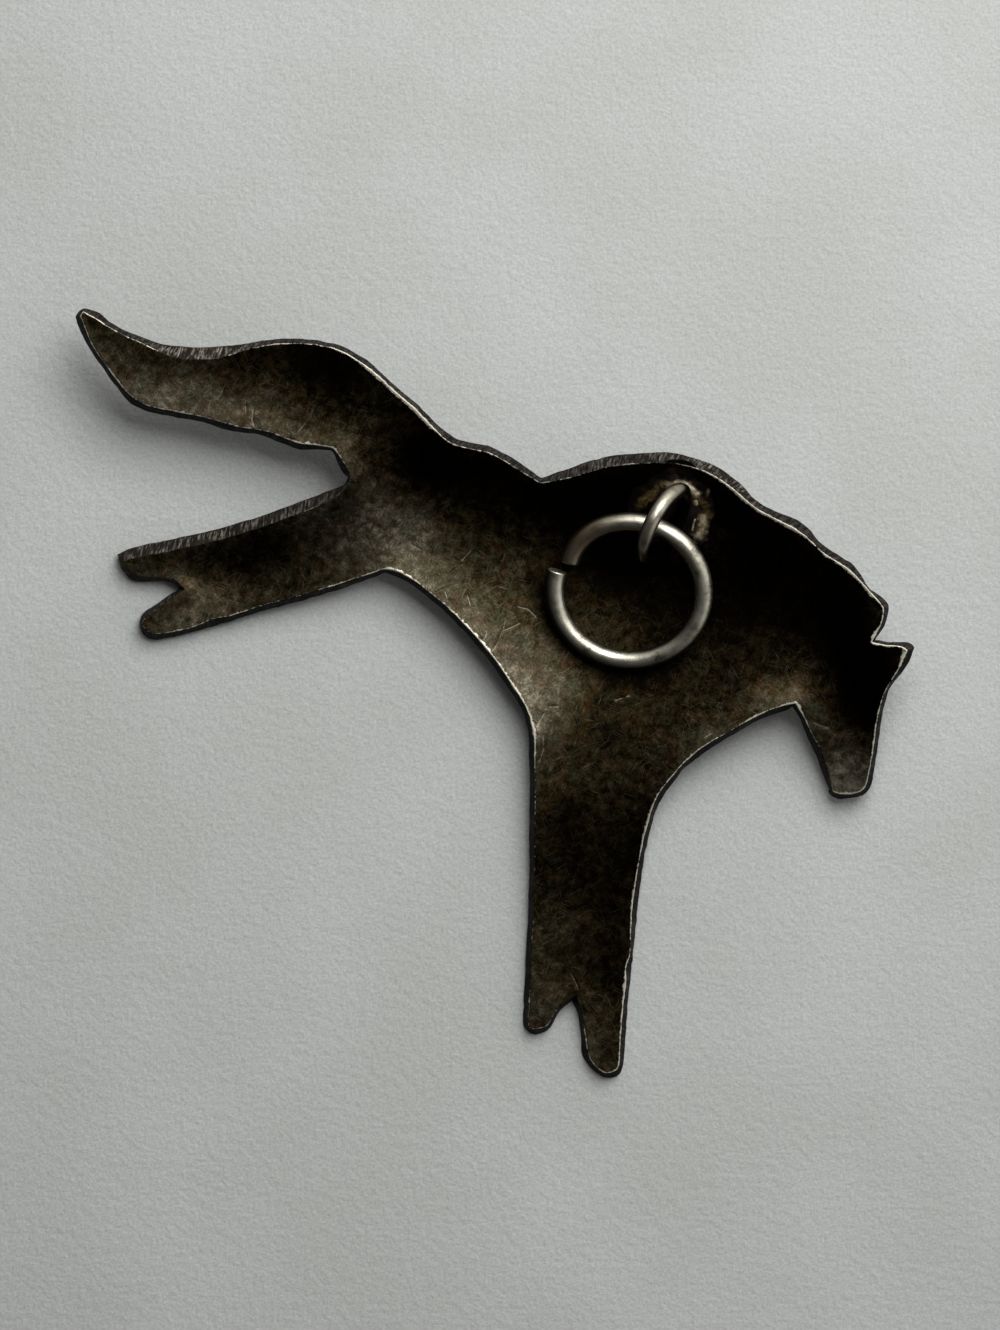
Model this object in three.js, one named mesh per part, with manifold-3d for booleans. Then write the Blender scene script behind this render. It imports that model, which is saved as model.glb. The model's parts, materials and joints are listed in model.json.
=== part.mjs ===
import * as THREE from "three";
import { mergeVertices } from "three/addons/utils/BufferGeometryUtils.js";
import Module from "manifold-3d";

// A horse charm, lying on its domed front with its hollow back up. A bucking horse is sawn from silver
// sheet and hammered hollow. A wire loop, the bail, is soldered on edge in the hollow, and an open jump
// ring hangs in it.
// Millimetres. +X runs from tail to head, +Y up the back of the horse, +Z up from the table.

// Sheet
const sheetThickness = 0.8;
const bodyCurl = 0.075; // change of slope for each millimetre across the hollow
const rounder = [
  { curl: 0.32, middle: [-13.5, 6.5], reach: [6, 3] }, // the thin hind legs are hammered rounder
  { curl: 0.163, middle: [10, 9], reach: [8, 3] }, // and so is the body under the back
];
const edgeBevel = 0.3; // least width of the sawn edge, seen from above
const filedBevel = 0.62; // the same where a file has widened it

// Bail and its solder
const bailWire = 0.8;
const bailRadius = 2.05; // to the middle of the wire
const bailFoot = new THREE.Vector2(9.9, 9.82);
const bailTurn = THREE.MathUtils.degToRad(62); // of its plane, from +X
const bailLean = THREE.MathUtils.degToRad(19); // of its plane, from upright
const solderShift = new THREE.Vector2(-0.6, 0); // of the puddle's middle, from the bail's foot
const solderRadius = 1.85;
const solderHeight = 0.4;
const solderEdge = 0.12;

// Jump ring
const ringWire = 1.02;
const ringLength = 7.85; // between wire middles, along X
const ringWidth = 7.4; // the same, across
const ringHangAngle = THREE.MathUtils.degToRad(59); // where on the ring the bail holds it
const ringSlide = 0.2; // how far along the bail's eye it has slid
const ringSplitAngle = THREE.MathUtils.degToRad(157);
const ringSplit = 0.5;
const ringSpring = 0.4; // one end of the split has sprung inwards
const ringSpringReach = THREE.MathUtils.degToRad(50);

// Fits
const solderGap = 0.05;
const hangGap = 0.15; // between the jump ring and the bail that carries it
const lieGap = 0.15; // between the jump ring and the sheet that it lies on

// How finely the surfaces are divided
const rimStep = 0.75;
const rimTurn = THREE.MathUtils.degToRad(24);
const hollowStep = 0.95;
const rimClear = 0.55; // inner points keep this share of a step from the rim
const notchShare = 0.35; // the edge reaches no further than this share of a notch
const facing = 0.3; // cosine within which one side of a notch faces another
const outlineSample = 0.05; // between points along an outline before they are thinned
const sinkRounds = 600;
const sinkStride = 1.7; // over-relaxation, between 1 and 2
const wireSides = 12;
const bailSteps = 40;
const ringSteps = 64;
const solderSides = 24;
const solderRings = 6;

// Outline of the hollow face, corner to corner round the horse: x, y and height above the table.
const tailTop = [
  [-21.75, 19.8, 3.9], [-21.55, 20.1, 3.9], [-21.2, 19.95, 3.9], [-20.2, 19.4, 3.95], [-18.6, 18.65, 3.95],
  [-17.05, 18.2, 4], [-14.95, 18.15, 4], [-12.85, 18.2, 4.05], [-9.7, 18.35, 4.15], [-8.1, 18, 4.2],
  [-6.55, 17.05, 4.2], [-4.45, 15.25, 4.15], [-2.35, 13.4, 4.05], [-1.8, 13.2, 4], [-0.25, 12.85, 3.9],
  [1.35, 11.9, 3.65], [2.4, 11.3, 3.5],
];
const backAndMane = [
  [2.4, 11.3, 3.5], [3.95, 11.65, 3.7], [6.05, 12.2, 3.95], [8.15, 12.35, 4.1], [10.25, 12.15, 4.15],
  [11.85, 11.35, 4.1], [13.4, 10.25, 4.1], [15.3, 9, 4.05], [16.55, 8.15, 4.05], [17.1, 7.6, 4.05],
  [18.65, 6.5, 4], [19.7, 5.45, 3.95], [20.3, 4.55, 3.9],
];
const nape = [[20.3, 4.55, 3.9], [20.15, 3.75, 3.85], [19.65, 2.75, 3.75]];
const earTop = [[19.65, 2.75, 3.75], [20.35, 2.65, 3.8], [21.3, 2.6, 3.8], [21.65, 2.35, 3.75]];
const faceAndMuzzle = [
  [21.65, 2.35, 3.75], [21.1, 1.25, 3.5], [20.55, 0.15, 3.25], [20.1, -1.5, 2.85], [19.85, -3.1, 2.35],
  [19.4, -4.9, 1.8], [19, -5.2, 1.65], [18.25, -5.3, 1.55], [17.65, -5.2, 1.55],
];
const jaw = [
  [17.65, -5.2, 1.55], [17.35, -3.7, 1.8], [17.1, -2.95, 1.95], [16.55, -2.15, 2.15], [15.8, -0.4, 2.6],
];
const chestAndForeleg = [
  [15.8, -0.4, 2.6], [15, -0.45, 2.65], [13.95, -0.85, 2.65], [12.35, -1.8, 2.6], [10.8, -2.75, 2.6],
  [9.75, -3.75, 2.45], [8.85, -4.7, 2.3], [8.4, -5.35, 2.15], [8.15, -6.1, 2], [7.65, -8.6, 1.6],
  [7.15, -11.1, 1.3], [7.1, -13.75, 1.1], [6.8, -14.25, 1.05], [6.8, -15.4, 1], [6.65, -17.55, 0.95],
  [6.55, -19.55, 0.9], [6.4, -19.8, 0.9], [5.8, -19.95, 0.9], [5.45, -19.8, 0.9], [5, -19.35, 0.9],
  [4.7, -18.45, 0.9], [4.45, -16.6, 0.95], [4.35, -15.65, 1],
];
const secondForeleg = [
  [4.35, -15.65, 1], [3.45, -16.55, 0.95], [2.95, -17.45, 0.9], [2.7, -17.65, 0.9], [1.85, -17.7, 0.9],
  [1.65, -17.45, 0.9], [1.7, -16.1, 0.95], [1.8, -13.45, 1.1], [1.9, -9.8, 1.45], [2.05, -5.05, 1.95],
  [2.05, -2.25, 2.2],
];
const belly = [
  [2.05, -2.25, 2.2], [1.7, -1, 2.25], [0.8, 0.6, 2.3], [-0.25, 2.2, 2.35], [-2.35, 4.3, 2.4],
  [-3.4, 5.15, 2.4], [-4.45, 5.95, 2.4], [-5.45, 6.45, 2.35], [-5.85, 6.45, 2.3],
];
const lowerHindLeg = [
  [-5.85, 6.45, 2.3], [-7.05, 6, 2.15], [-10.2, 5.2, 1.75], [-12.3, 4.7, 1.5], [-13.9, 4.25, 1.35],
  [-14.95, 4.15, 1.25], [-16, 3.65, 1.2], [-17.05, 3.4, 1.15], [-18.15, 3.3, 1.15], [-18.65, 3.7, 1.15],
  [-18.65, 3.95, 1.15], [-18.05, 4.5, 1.15], [-17.05, 5.1, 1.15], [-16.3, 5.55, 1.15],
];
const upperHoof = [
  [-16.3, 5.55, 1.15], [-16.6, 5.85, 1.15], [-17, 6.1, 1.15], [-17.55, 6.05, 1.1], [-18.65, 6.1, 1.1],
  [-19.35, 6.4, 1.1], [-19.65, 6.75, 1.15], [-19.8, 7.1, 1.15],
];
const upperHindLeg = [
  [-19.8, 7.1, 1.15], [-19.15, 7.25, 1.2], [-17.55, 7.4, 1.25], [-15.45, 7.8, 1.5], [-13.9, 8.25, 1.7],
  [-12.3, 8.85, 2], [-10.75, 9.5, 2.3], [-8.65, 10.3, 2.75], [-7.85, 10.7, 2.95], [-7.5, 11.2, 3.15],
];
const rump = [[-7.5, 11.2, 3.15], [-7.6, 11.7, 3.25], [-8.1, 12.3, 3.4], [-8.55, 12.8, 3.5]];
const tailUnderside = [
  [-8.55, 12.8, 3.5], [-10.2, 12.95, 3.6], [-11.05, 13.25, 3.6], [-11.8, 13.55, 3.65], [-13.35, 13.8, 3.65],
  [-14.4, 14.15, 3.7], [-16.5, 14.65, 3.7], [-17.55, 14.9, 3.7], [-18.6, 15.25, 3.7], [-19.65, 16.1, 3.7],
  [-20.7, 17.4, 3.75], [-21.15, 18.15, 3.8], [-21.55, 19.35, 3.85], [-21.75, 19.8, 3.9],
];
const outline = [
  tailTop, backAndMane, nape, earTop, faceAndMuzzle, jaw, chestAndForeleg, secondForeleg, belly,
  lowerHindLeg, upperHoof, upperHindLeg, rump, tailUnderside,
];

const wasm = await Module();
wasm.setup();

function silver(color, roughness, metalness) {
  return new THREE.MeshStandardMaterial({ color, roughness, metalness });
}

function mesh(name, geometry, material) {
  const made = new THREE.Mesh(geometry, material);
  made.name = name;
  return made;
}

// A geometry with only positions, its shared vertices merged.
function merged(geometry) {
  const plain = new THREE.BufferGeometry().setAttribute("position", geometry.getAttribute("position"));
  return mergeVertices(plain.setIndex(geometry.index), 1e-4);
}

function toSolid(geometry) {
  const plain = merged(geometry);
  const vertProperties = new Float32Array(plain.getAttribute("position").array);
  const triVerts = new Uint32Array(plain.index.array);
  return new wasm.Manifold(new wasm.Mesh({ numProp: 3, vertProperties, triVerts }));
}

function toGeometry(solid) {
  const { vertProperties, triVerts } = solid.getMesh();
  const geometry = new THREE.BufferGeometry();
  geometry.setAttribute("position", new THREE.BufferAttribute(vertProperties, 3));
  geometry.setIndex(new THREE.BufferAttribute(triVerts, 1));
  geometry.computeVertexNormals();
  return geometry;
}

// Points along one stretch of outline, closer together where it turns.
function stretchPoints(stretch) {
  const corners = stretch.map((p) => new THREE.Vector3(...p));
  const curve = new THREE.CatmullRomCurve3(corners, false, "centripetal");
  const samples = Math.ceil(curve.getLength() / outlineSample);
  const fine = curve.getSpacedPoints(samples);
  const need = [0];
  for (let i = 1; i < samples; i++) {
    const before = fine[i].clone().sub(fine[i - 1]);
    const after = fine[i + 1].clone().sub(fine[i]);
    need.push(need[i - 1] + before.length() / rimStep + before.angleTo(after) / rimTurn);
  }
  const steps = Math.max(2, Math.round(need.at(-1)));
  const shares = Array.from({ length: steps }, (_, k) => (k / steps) * need.at(-1));
  return shares.map((share) => fine[need.findIndex((n) => n >= share)]);
}

// The rim runs anticlockwise from above.
const rim = outline.flatMap(stretchPoints).reverse();
const bevels = outline
  .flatMap((stretch) => {
    const bevel = stretch === upperHindLeg ? filedBevel : edgeBevel;
    return stretchPoints(stretch).map(() => bevel);
  })
  .reverse();

const flatRim = rim.map((p) => p.clone().setZ(0));
const rimSides = flatRim.map((p, i) => new THREE.Line3(p, flatRim[(i + 1) % rim.length]));

// The way in plan from a point to its nearest place on one side of the rim.
function wayTo(side, point) {
  return side.closestPointToPoint(point, true, new THREE.Vector3()).sub(point);
}

function rimDistance(point) {
  return Math.min(...rimSides.map((side) => wayTo(side, point).length()));
}

function insideRim({ x, y }) {
  let inside = false;
  rim.forEach((a, i) => {
    const b = rim[(i + 1) % rim.length];
    if (a.y > y !== b.y > y && x < ((b.x - a.x) * (y - a.y)) / (b.y - a.y) + a.x) inside = !inside;
  });
  return inside;
}

// Rows of points in staggered order, clear of the rim.
function hollowPoints() {
  const box = new THREE.Box3().setFromPoints(rim);
  const points = [];
  const rowStep = (hollowStep * Math.sqrt(3)) / 2;
  for (let row = 0; box.min.y + row * rowStep < box.max.y; row++) {
    const y = box.min.y + row * rowStep;
    for (let x = box.min.x + ((row % 2) * hollowStep) / 2; x < box.max.x; x += hollowStep) {
      const point = new THREE.Vector3(x, y, 0);
      const clear = insideRim(point) && rimDistance(point) > hollowStep * rimClear;
      if (clear) points.push(point);
    }
  }
  return points;
}

// Twice the signed area of a triangle in plan.
function turn(a, b, c) {
  return (b.x - a.x) * (c.y - a.y) - (b.y - a.y) * (c.x - a.x);
}

// True where d lies inside the circle through a, b and c.
function inCircle(a, b, c, d) {
  const lifted = [a, b, c].map((v) => {
    const [x, y] = [v.x - d.x, v.y - d.y];
    return new THREE.Vector3(x, y, x * x + y * y);
  });
  return lifted[0].dot(lifted[1].cross(lifted[2])) > 1e-9;
}

// Triangles over the outline: first between rim points alone, then with each inner point joined to the
// triangle round it, then with shared sides turned until every triangle is as even as its corners allow.
function triangulate(points, rimCount) {
  const onRim = THREE.ShapeUtils.triangulateShape(points.slice(0, rimCount), []);
  const faces = onRim.map(([a, b, c]) => {
    return turn(points[a], points[b], points[c]) > 0 ? [a, b, c] : [a, c, b];
  });
  for (let d = rimCount; d < points.length; d++) {
    const at = faces.findIndex((f) =>
      f.every((a, k) => turn(points[a], points[f[(k + 1) % 3]], points[d]) >= 0),
    );
    const [a, b, c] = faces[at];
    faces.splice(at, 1, [a, b, d], [b, c, d], [c, a, d]);
  }
  let turned = true;
  while (turned) {
    turned = false;
    const sides = new Map();
    const key = (a, b) => a * points.length + b;
    faces.forEach((f, i) => {
      f.forEach((a, k) => {
        const [b, c] = [f[(k + 1) % 3], f[(k + 2) % 3]];
        sides.set(key(a, b), [i, a, b, c]);
      });
    });
    const changed = new Set();
    for (const [i, a, b, c] of sides.values()) {
      const [j, , , d] = sides.get(key(b, a)) ?? [];
      if (d === undefined || changed.has(i) || changed.has(j)) continue;
      if (!inCircle(points[a], points[b], points[c], points[d])) continue;
      faces[i] = [a, d, c];
      faces[j] = [d, b, c];
      changed.add(i).add(j);
      turned = true;
    }
  }
  return faces;
}

function curlAt({ x, y }) {
  const extra = rounder.map(({ curl, middle, reach }) => {
    const [along, across] = [(x - middle[0]) / reach[0], (y - middle[1]) / reach[1]];
    return curl * Math.exp(-along * along - across * across);
  });
  return extra.reduce((sum, curl) => sum + curl, bodyCurl);
}

// Sinks the inner points until the hollow has the curl everywhere, as a loaded skin hangs from its rim.
function sink(points, faces, rimCount) {
  const ties = points.map(() => new Map());
  const areas = points.map(() => 0);
  for (const face of faces) {
    face.forEach((a, k) => {
      const [b, c] = [face[(k + 1) % 3], face[(k + 2) % 3]];
      const twice = turn(points[a], points[b], points[c]);
      const [p, q, r] = [points[a], points[b], points[c]];
      const weight = ((p.x - r.x) * (q.x - r.x) + (p.y - r.y) * (q.y - r.y)) / twice / 2;
      ties[a].set(b, (ties[a].get(b) ?? 0) + weight);
      ties[b].set(a, (ties[b].get(a) ?? 0) + weight);
      areas[a] += twice / 6;
    });
  }
  for (let round = 0; round < sinkRounds; round++) {
    for (let i = rimCount; i < points.length; i++) {
      let pull = -curlAt(points[i]) * areas[i];
      let total = 0;
      for (const [j, weight] of ties[i]) {
        pull += weight * points[j].z;
        total += weight;
      }
      points[i].z += sinkStride * (pull / total - points[i].z);
    }
  }
}

// Upward normals, evened out with their neighbours so that the edge turns smoothly round a notch.
function normalsOf(points, faces) {
  let normals = points.map(() => new THREE.Vector3());
  for (const [a, b, c] of faces) {
    const side = points[b].clone().sub(points[a]);
    const normal = side.cross(points[c].clone().sub(points[a]));
    [a, b, c].forEach((i) => normals[i].add(normal));
  }
  for (let round = 0; round < 2; round++) {
    const evened = normals.map((n) => n.normalize().clone().multiplyScalar(2));
    for (const [a, b, c] of faces) {
      [[a, b], [b, c], [c, a]].forEach(([i, j]) => evened[i].add(normals[j]));
    }
    normals = evened;
  }
  return normals.map((n) => n.normalize());
}

const inner = hollowPoints();
const skin = [...rim, ...inner];
const skinFaces = triangulate(skin, rim.length);
sink(skin, skinFaces, rim.length);
const skinNormals = normalsOf(skin, skinFaces);

// The domed face's rim: one thickness below the hollow's, as far out as the slope carries it or the bevel
// asks, but never across a notch.
function lowerRimPoint(i) {
  const lower = skin[i].clone().addScaledVector(skinNormals[i], -sheetThickness);
  const along = flatRim[(i + 1) % rim.length].clone().sub(flatRim.at(i - 1)).normalize();
  const out = new THREE.Vector3(along.y, -along.x, 0);
  const others = rimSides.filter((_, k) => k !== i && (k + 1) % rim.length !== i);
  const ways = others.map((side) => wayTo(side, flatRim[i]));
  const across = ways.filter((way) => way.dot(out) > facing * way.length());
  const room = notchShare * Math.min(...across.map((way) => way.length()));
  const reach = lower.clone().sub(skin[i]).dot(out);
  return lower.addScaledVector(out, Math.min(Math.max(reach, bevels[i]), room) - reach);
}

// The hollow face, the domed face one thickness below it, and the sawn edge between them.
function sheetGeometry() {
  const under = skin.map((p, i) =>
    i < rim.length ? lowerRimPoint(i) : p.clone().addScaledVector(skinNormals[i], -sheetThickness),
  );
  const lower = skin.length;
  const walls = rim.flatMap((_, i) => {
    const j = (i + 1) % rim.length;
    return [[j, i, lower + i], [j, lower + i, lower + j]];
  });
  const faces = [...skinFaces, ...skinFaces.map(([a, b, c]) => [lower + a, lower + c, lower + b]), ...walls];
  const geometry = new THREE.BufferGeometry().setFromPoints([...skin, ...under]);
  geometry.setIndex(faces.flat());
  geometry.computeVertexNormals();
  return geometry;
}

// Height and normal of the hollow face over a point in plan.
function hollowAt(x, y) {
  const at = new THREE.Vector2(x, y);
  const face = skinFaces.find((f) => f.every((a, k) => turn(skin[a], skin[f[(k + 1) % 3]], at) >= 0));
  if (!face) return null;
  const whole = turn(...face.map((i) => skin[i]));
  const shares = face.map((_, k) => turn(at, skin[face[(k + 1) % 3]], skin[face[(k + 2) % 3]]) / whole);
  const mix = (list) =>
    face.reduce((sum, i, k) => sum.addScaledVector(list[i], shares[k]), new THREE.Vector3());
  return { point: mix(skin), normal: mix(skinNormals).normalize() };
}

// The bail stands on edge with its lowest wire over its foot.
const foot = hollowAt(bailFoot.x, bailFoot.y);
const bailAlong = new THREE.Vector3(Math.cos(bailTurn), Math.sin(bailTurn), 0);
const bailSide = new THREE.Vector3(-Math.sin(bailTurn), Math.cos(bailTurn), 0);
const bailUp = bailSide.clone().multiplyScalar(Math.sin(bailLean));
bailUp.z = Math.cos(bailLean);
const bailAxis = bailAlong.clone().cross(bailUp);
const bailRise = foot.normal.clone().projectOnPlane(bailAxis).normalize();
const bailMiddle = foot.point
  .clone()
  .addScaledVector(foot.normal, bailWire / 2 + solderGap)
  .addScaledVector(bailRise, bailRadius);
const bailPlace = new THREE.Matrix4().makeBasis(bailAlong, bailUp, bailAxis).setPosition(bailMiddle);

function bailGeometry(wire) {
  return new THREE.TorusGeometry(bailRadius, wire / 2, wireSides, bailSteps).applyMatrix4(bailPlace);
}

// A low puddle of solder round the foot, with the bail's wire and the sheet taken out of it.
function solderGeometry(sheet) {
  const below = -sheetThickness / 2;
  const profile = [new THREE.Vector2(0, below), new THREE.Vector2(solderRadius, below)];
  for (let k = 0; k <= solderRings; k++) {
    const out = 1 - k / solderRings;
    const height = solderEdge + (solderHeight - solderEdge) * (1 - out * out);
    profile.push(new THREE.Vector2(solderRadius * out, height));
  }
  const puddle = new THREE.LatheGeometry(profile, solderSides);
  const under = hollowAt(bailFoot.x + solderShift.x, bailFoot.y + solderShift.y);
  const upright = new THREE.Quaternion().setFromUnitVectors(new THREE.Vector3(0, 1, 0), under.normal);
  puddle.applyQuaternion(upright).translate(...under.point.toArray());
  const clearSheet = sheet.clone().translate(...under.normal.clone().multiplyScalar(solderGap).toArray());
  const clearBail = bailGeometry(bailWire + 2 * solderGap);
  return toGeometry(toSolid(puddle).subtract(toSolid(clearSheet)).subtract(toSolid(clearBail)));
}

// The middle of the jump ring's wire, seen square on: an oval from one side of the split round to the other.
class RingLine extends THREE.Curve {
  getPoint(t, target = new THREE.Vector3()) {
    const splitTurn = ringSplit / ringLength;
    const angle = ringSplitAngle + splitTurn + t * (2 * Math.PI - 2 * splitTurn);
    const past = (ringSplitAngle + 2 * Math.PI - splitTurn - angle) / ringSpringReach;
    const spring = past < 1 ? ringSpring * (1 - past) ** 2 : 0;
    const place = ringOval(angle);
    return target.copy(place).setLength(place.length() - spring);
  }
}

function ringOval(angle) {
  return new THREE.Vector3((ringLength / 2) * Math.cos(angle), (ringWidth / 2) * Math.sin(angle), 0);
}

const ringHang = ringOval(ringHangAngle);
const ringLine = new RingLine();

// The jump ring turns about its own wire where it passes through the bail, low in the eye.
const swingAxis = new THREE.Vector3(
  -(ringLength / 2) * Math.sin(ringHangAngle),
  (ringWidth / 2) * Math.cos(ringHangAngle),
  0,
).normalize();
const eyeDrop = bailRadius - bailWire / 2 - ringWire / 2 - hangGap;
const swingPoint = bailMiddle
  .clone()
  .addScaledVector(bailUp, -Math.sqrt(eyeDrop * eyeDrop - ringSlide * ringSlide))
  .addScaledVector(bailAlong, -ringSlide);

// Least gap between the jump ring and the hollow face at a swing angle.
function lieDistance(angle) {
  const gaps = ringLine.getSpacedPoints(ringSteps).map((p) => {
    const place = p.clone().sub(ringHang).applyAxisAngle(swingAxis, angle).add(swingPoint);
    const below = hollowAt(place.x, place.y);
    return below ? (place.z - below.point.z) * below.normal.z - ringWire / 2 : Infinity;
  });
  return Math.min(...gaps);
}

// The ring is let down until it lies on the sheet.
function lyingAngle() {
  let [low, high] = [-Math.PI / 3, Math.PI / 6];
  for (let round = 0; round < 30; round++) {
    const middle = (low + high) / 2;
    if (lieDistance(middle) > lieGap) high = middle;
    else low = middle;
  }
  return high;
}

function ringGeometry() {
  const section = new THREE.Shape().absarc(0, 0, ringWire / 2, 0, 2 * Math.PI);
  const wire = new THREE.ExtrudeGeometry(section, {
    steps: ringSteps,
    curveSegments: wireSides / 2,
    bevelEnabled: false,
    extrudePath: ringLine,
  });
  return wire.translate(...ringHang.clone().negate().toArray());
}

const sheet = sheetGeometry();
const horseSheet = mesh("horse_sheet", sheet, silver(0x5a5248, 0.45, 0.9));
const bailLoop = mesh("bail_loop", bailGeometry(bailWire), silver(0xb9b5aa, 0.3, 1));
const bailSolder = mesh("bail_solder", solderGeometry(sheet), silver(0x9c8a66, 0.8, 0.2));
const jumpRing = mesh("jump_ring", ringGeometry(), silver(0xc2beb2, 0.28, 1));
jumpRing.position.copy(swingPoint);
jumpRing.quaternion.setFromAxisAngle(swingAxis, lyingAngle());

// The charm stands centred over the origin, with its lowest point on the table.
const charm = new THREE.Group();
charm.add(horseSheet, bailLoop, bailSolder, jumpRing);
const box = new THREE.Box3().setFromObject(charm, true);
const middle = box.getCenter(new THREE.Vector3());
charm.position.set(-middle.x, -middle.y, -box.min.z);

const part = new THREE.Group();
part.name = "horse_charm";
part.add(charm);
export default part;
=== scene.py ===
# %% [markdown]
# A horse charm of dark silver, seen from its hollow back. The real one is sawn from a single sheet,
# hammered hollow, and blackened. A bail is soldered in the hollow, and an open jump ring hangs in the
# bail. The solids of these four pieces are already made. This lesson loads them, and then
# dresses each one with a finer surface and its own finish, always measured from the solid, so that
# nothing drifts from its place.

# %% Load the solids
import json
import math

import bpy
import numpy as np
from mathutils.geometry import delaunay_2d_cdt
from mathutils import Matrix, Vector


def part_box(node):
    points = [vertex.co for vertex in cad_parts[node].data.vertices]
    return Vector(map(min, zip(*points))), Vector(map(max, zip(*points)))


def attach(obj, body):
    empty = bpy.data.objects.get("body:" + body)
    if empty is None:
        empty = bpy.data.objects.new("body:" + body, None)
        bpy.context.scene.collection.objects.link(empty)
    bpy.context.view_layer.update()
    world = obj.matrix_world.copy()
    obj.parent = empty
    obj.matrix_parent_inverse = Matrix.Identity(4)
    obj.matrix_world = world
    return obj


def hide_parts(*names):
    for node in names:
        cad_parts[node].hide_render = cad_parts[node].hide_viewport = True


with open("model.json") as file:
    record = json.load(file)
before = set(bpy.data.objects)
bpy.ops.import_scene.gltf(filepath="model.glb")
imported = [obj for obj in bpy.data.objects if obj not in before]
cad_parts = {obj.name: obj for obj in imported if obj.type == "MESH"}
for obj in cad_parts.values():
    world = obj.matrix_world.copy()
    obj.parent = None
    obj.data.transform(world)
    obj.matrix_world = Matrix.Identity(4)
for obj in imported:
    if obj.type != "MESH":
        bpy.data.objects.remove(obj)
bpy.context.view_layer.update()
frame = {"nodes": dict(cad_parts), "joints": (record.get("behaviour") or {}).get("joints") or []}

MM = 0.001

# %% [markdown]
# The photograph looks straight down from about 30 cm. A camera object without any turn looks down too,
# with +X to the right and +Y up the picture, so only its place and its lens need working out. The
# picture is 1000 by 1330 pixels, and its longer side is the one that the sensor's width belongs to.

# %% Camera
PICTURE = (1000, 1330)
EYE = np.array([0.289, 1.496, 300.0])
LEVEL = 2.5
PIXELS_PER_MM = 19.05
view_height = PICTURE[1] / PIXELS_PER_MM

camera_data = bpy.data.cameras.new("camera")
camera_data.sensor_width = 36
camera_data.lens = camera_data.sensor_width * (EYE[2] - LEVEL) / view_height
camera = bpy.data.objects.new("camera", camera_data)
camera.location = EYE * MM
bpy.context.scene.collection.objects.link(camera)
bpy.context.scene.camera = camera
print("lens", round(camera_data.lens, 1), "mm, view", round(view_height, 1), "mm high")


def seen_at(pixels, height):
    """Places in mm, at the given height, of pixels counted from the picture's upper left corner.

    A pixel's offset from the middle, over the scale, is its offset at LEVEL, and it shrinks in
    proportion to the distance from the eye."""
    offset = (np.atleast_2d(pixels) - np.array(PICTURE) / 2) * (1, -1) / PIXELS_PER_MM
    away = np.reshape(EYE[2] - height, (-1, 1))
    return EYE[:2] + offset * away / (EYE[2] - LEVEL)


def picture_of(points):
    """Pixels at which points in mm are seen: the reverse of seen_at."""
    scale = PIXELS_PER_MM * (EYE[2] - LEVEL) / (EYE[2] - points[:, 2:])
    return np.array(PICTURE) / 2 + (points[:, :2] - EYE[:2]) * (1, -1) * scale


# %% [markdown]
# Every piece below is made the same way: arrays of corners and faces are worked out with numpy in
# millimetres, and turned into a mesh in one step. Numbers that belong to each corner, such as how worn
# the metal is there, are stored as attributes, which a material can read.

# %% Helpers for meshes
def add_mesh(name, corners, faces, marks=None):
    """A smooth object from corners in mm and faces, with one number per corner for each named mark."""
    mesh = bpy.data.meshes.new(name)
    mesh.from_pydata((corners * MM).tolist(), [], faces, shade_flat=False)
    for mark, values in (marks or {}).items():
        mesh.attributes.new(mark, "FLOAT", "POINT").data.foreach_set("value", values.astype(np.float32))
    mesh.validate()
    piece = bpy.data.objects.new(name, mesh)
    bpy.context.scene.collection.objects.link(piece)
    return piece


def grid_faces(rows, columns, wrap_rows=False):
    """Four-cornered faces of a grid whose corner in row r and column c has the number r * columns + c.

    The last column is joined to the first, and where it is asked for, the last row too."""
    r = np.arange(rows if wrap_rows else rows - 1)[:, None]
    c = np.arange(columns)[None]
    up, right = (r + 1) % rows, (c + 1) % columns
    parts = np.broadcast_arrays(
        r * columns + c, up * columns + c, up * columns + right, r * columns + right
    )
    return np.stack(parts, axis=-1).reshape(-1, 4)


def unit(vectors):
    """The vectors, each brought to a length of 1."""
    return vectors / np.linalg.norm(vectors, axis=-1, keepdims=True)


def smoothstep(low, high, x):
    """0 below low, 1 above high, and 3 t^2 - 2 t^3 in between, with t the share of the way."""
    t = np.clip((x - low) / (high - low), 0, 1)
    return t * t * (3 - 2 * t)


def between_four(value, t):
    """Value between four neighbours value(0, 0) to value(1, 1), t being the share of the way in x and y."""
    left = value(0, 0) * (1 - t[:, 1]) + value(0, 1) * t[:, 1]
    right = value(1, 0) * (1 - t[:, 1]) + value(1, 1) * t[:, 1]
    return left * (1 - t[:, 0]) + right * t[:, 0]


LATTICE = 97


def lumps(places, cell, seed):
    """Smooth random heights from -1 to 1: random numbers on a square lattice, eased from knot to knot."""
    knots = np.random.default_rng(seed).uniform(-1, 1, (LATTICE, LATTICE))
    q = places / cell
    low = np.floor(q).astype(int)
    knot = lambda dx, dy: knots[(low[:, 0] + dx) % LATTICE, (low[:, 1] + dy) % LATTICE]
    return between_four(knot, smoothstep(0, 1, q - low))


# %% [markdown]
# A material is a tree of small nodes. These helpers add one node each and return its output, so that a
# recipe for a finish reads from top to bottom. Patterns are laid out in millimetres on the piece
# itself.

# %% Helpers for materials
def put(tree, kind, sockets=None, out=0, **settings):
    """Adds a node, sets its own settings, fills or links its input sockets, and returns one output."""
    made = tree.nodes.new("ShaderNode" + kind)
    for key, value in settings.items():
        setattr(made, key, value)
    for key, value in (sockets or {}).items():
        if isinstance(value, bpy.types.NodeSocket):
            tree.links.new(value, made.inputs[key])
        else:
            made.inputs[key].default_value = value
    return made.outputs[out]


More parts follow.
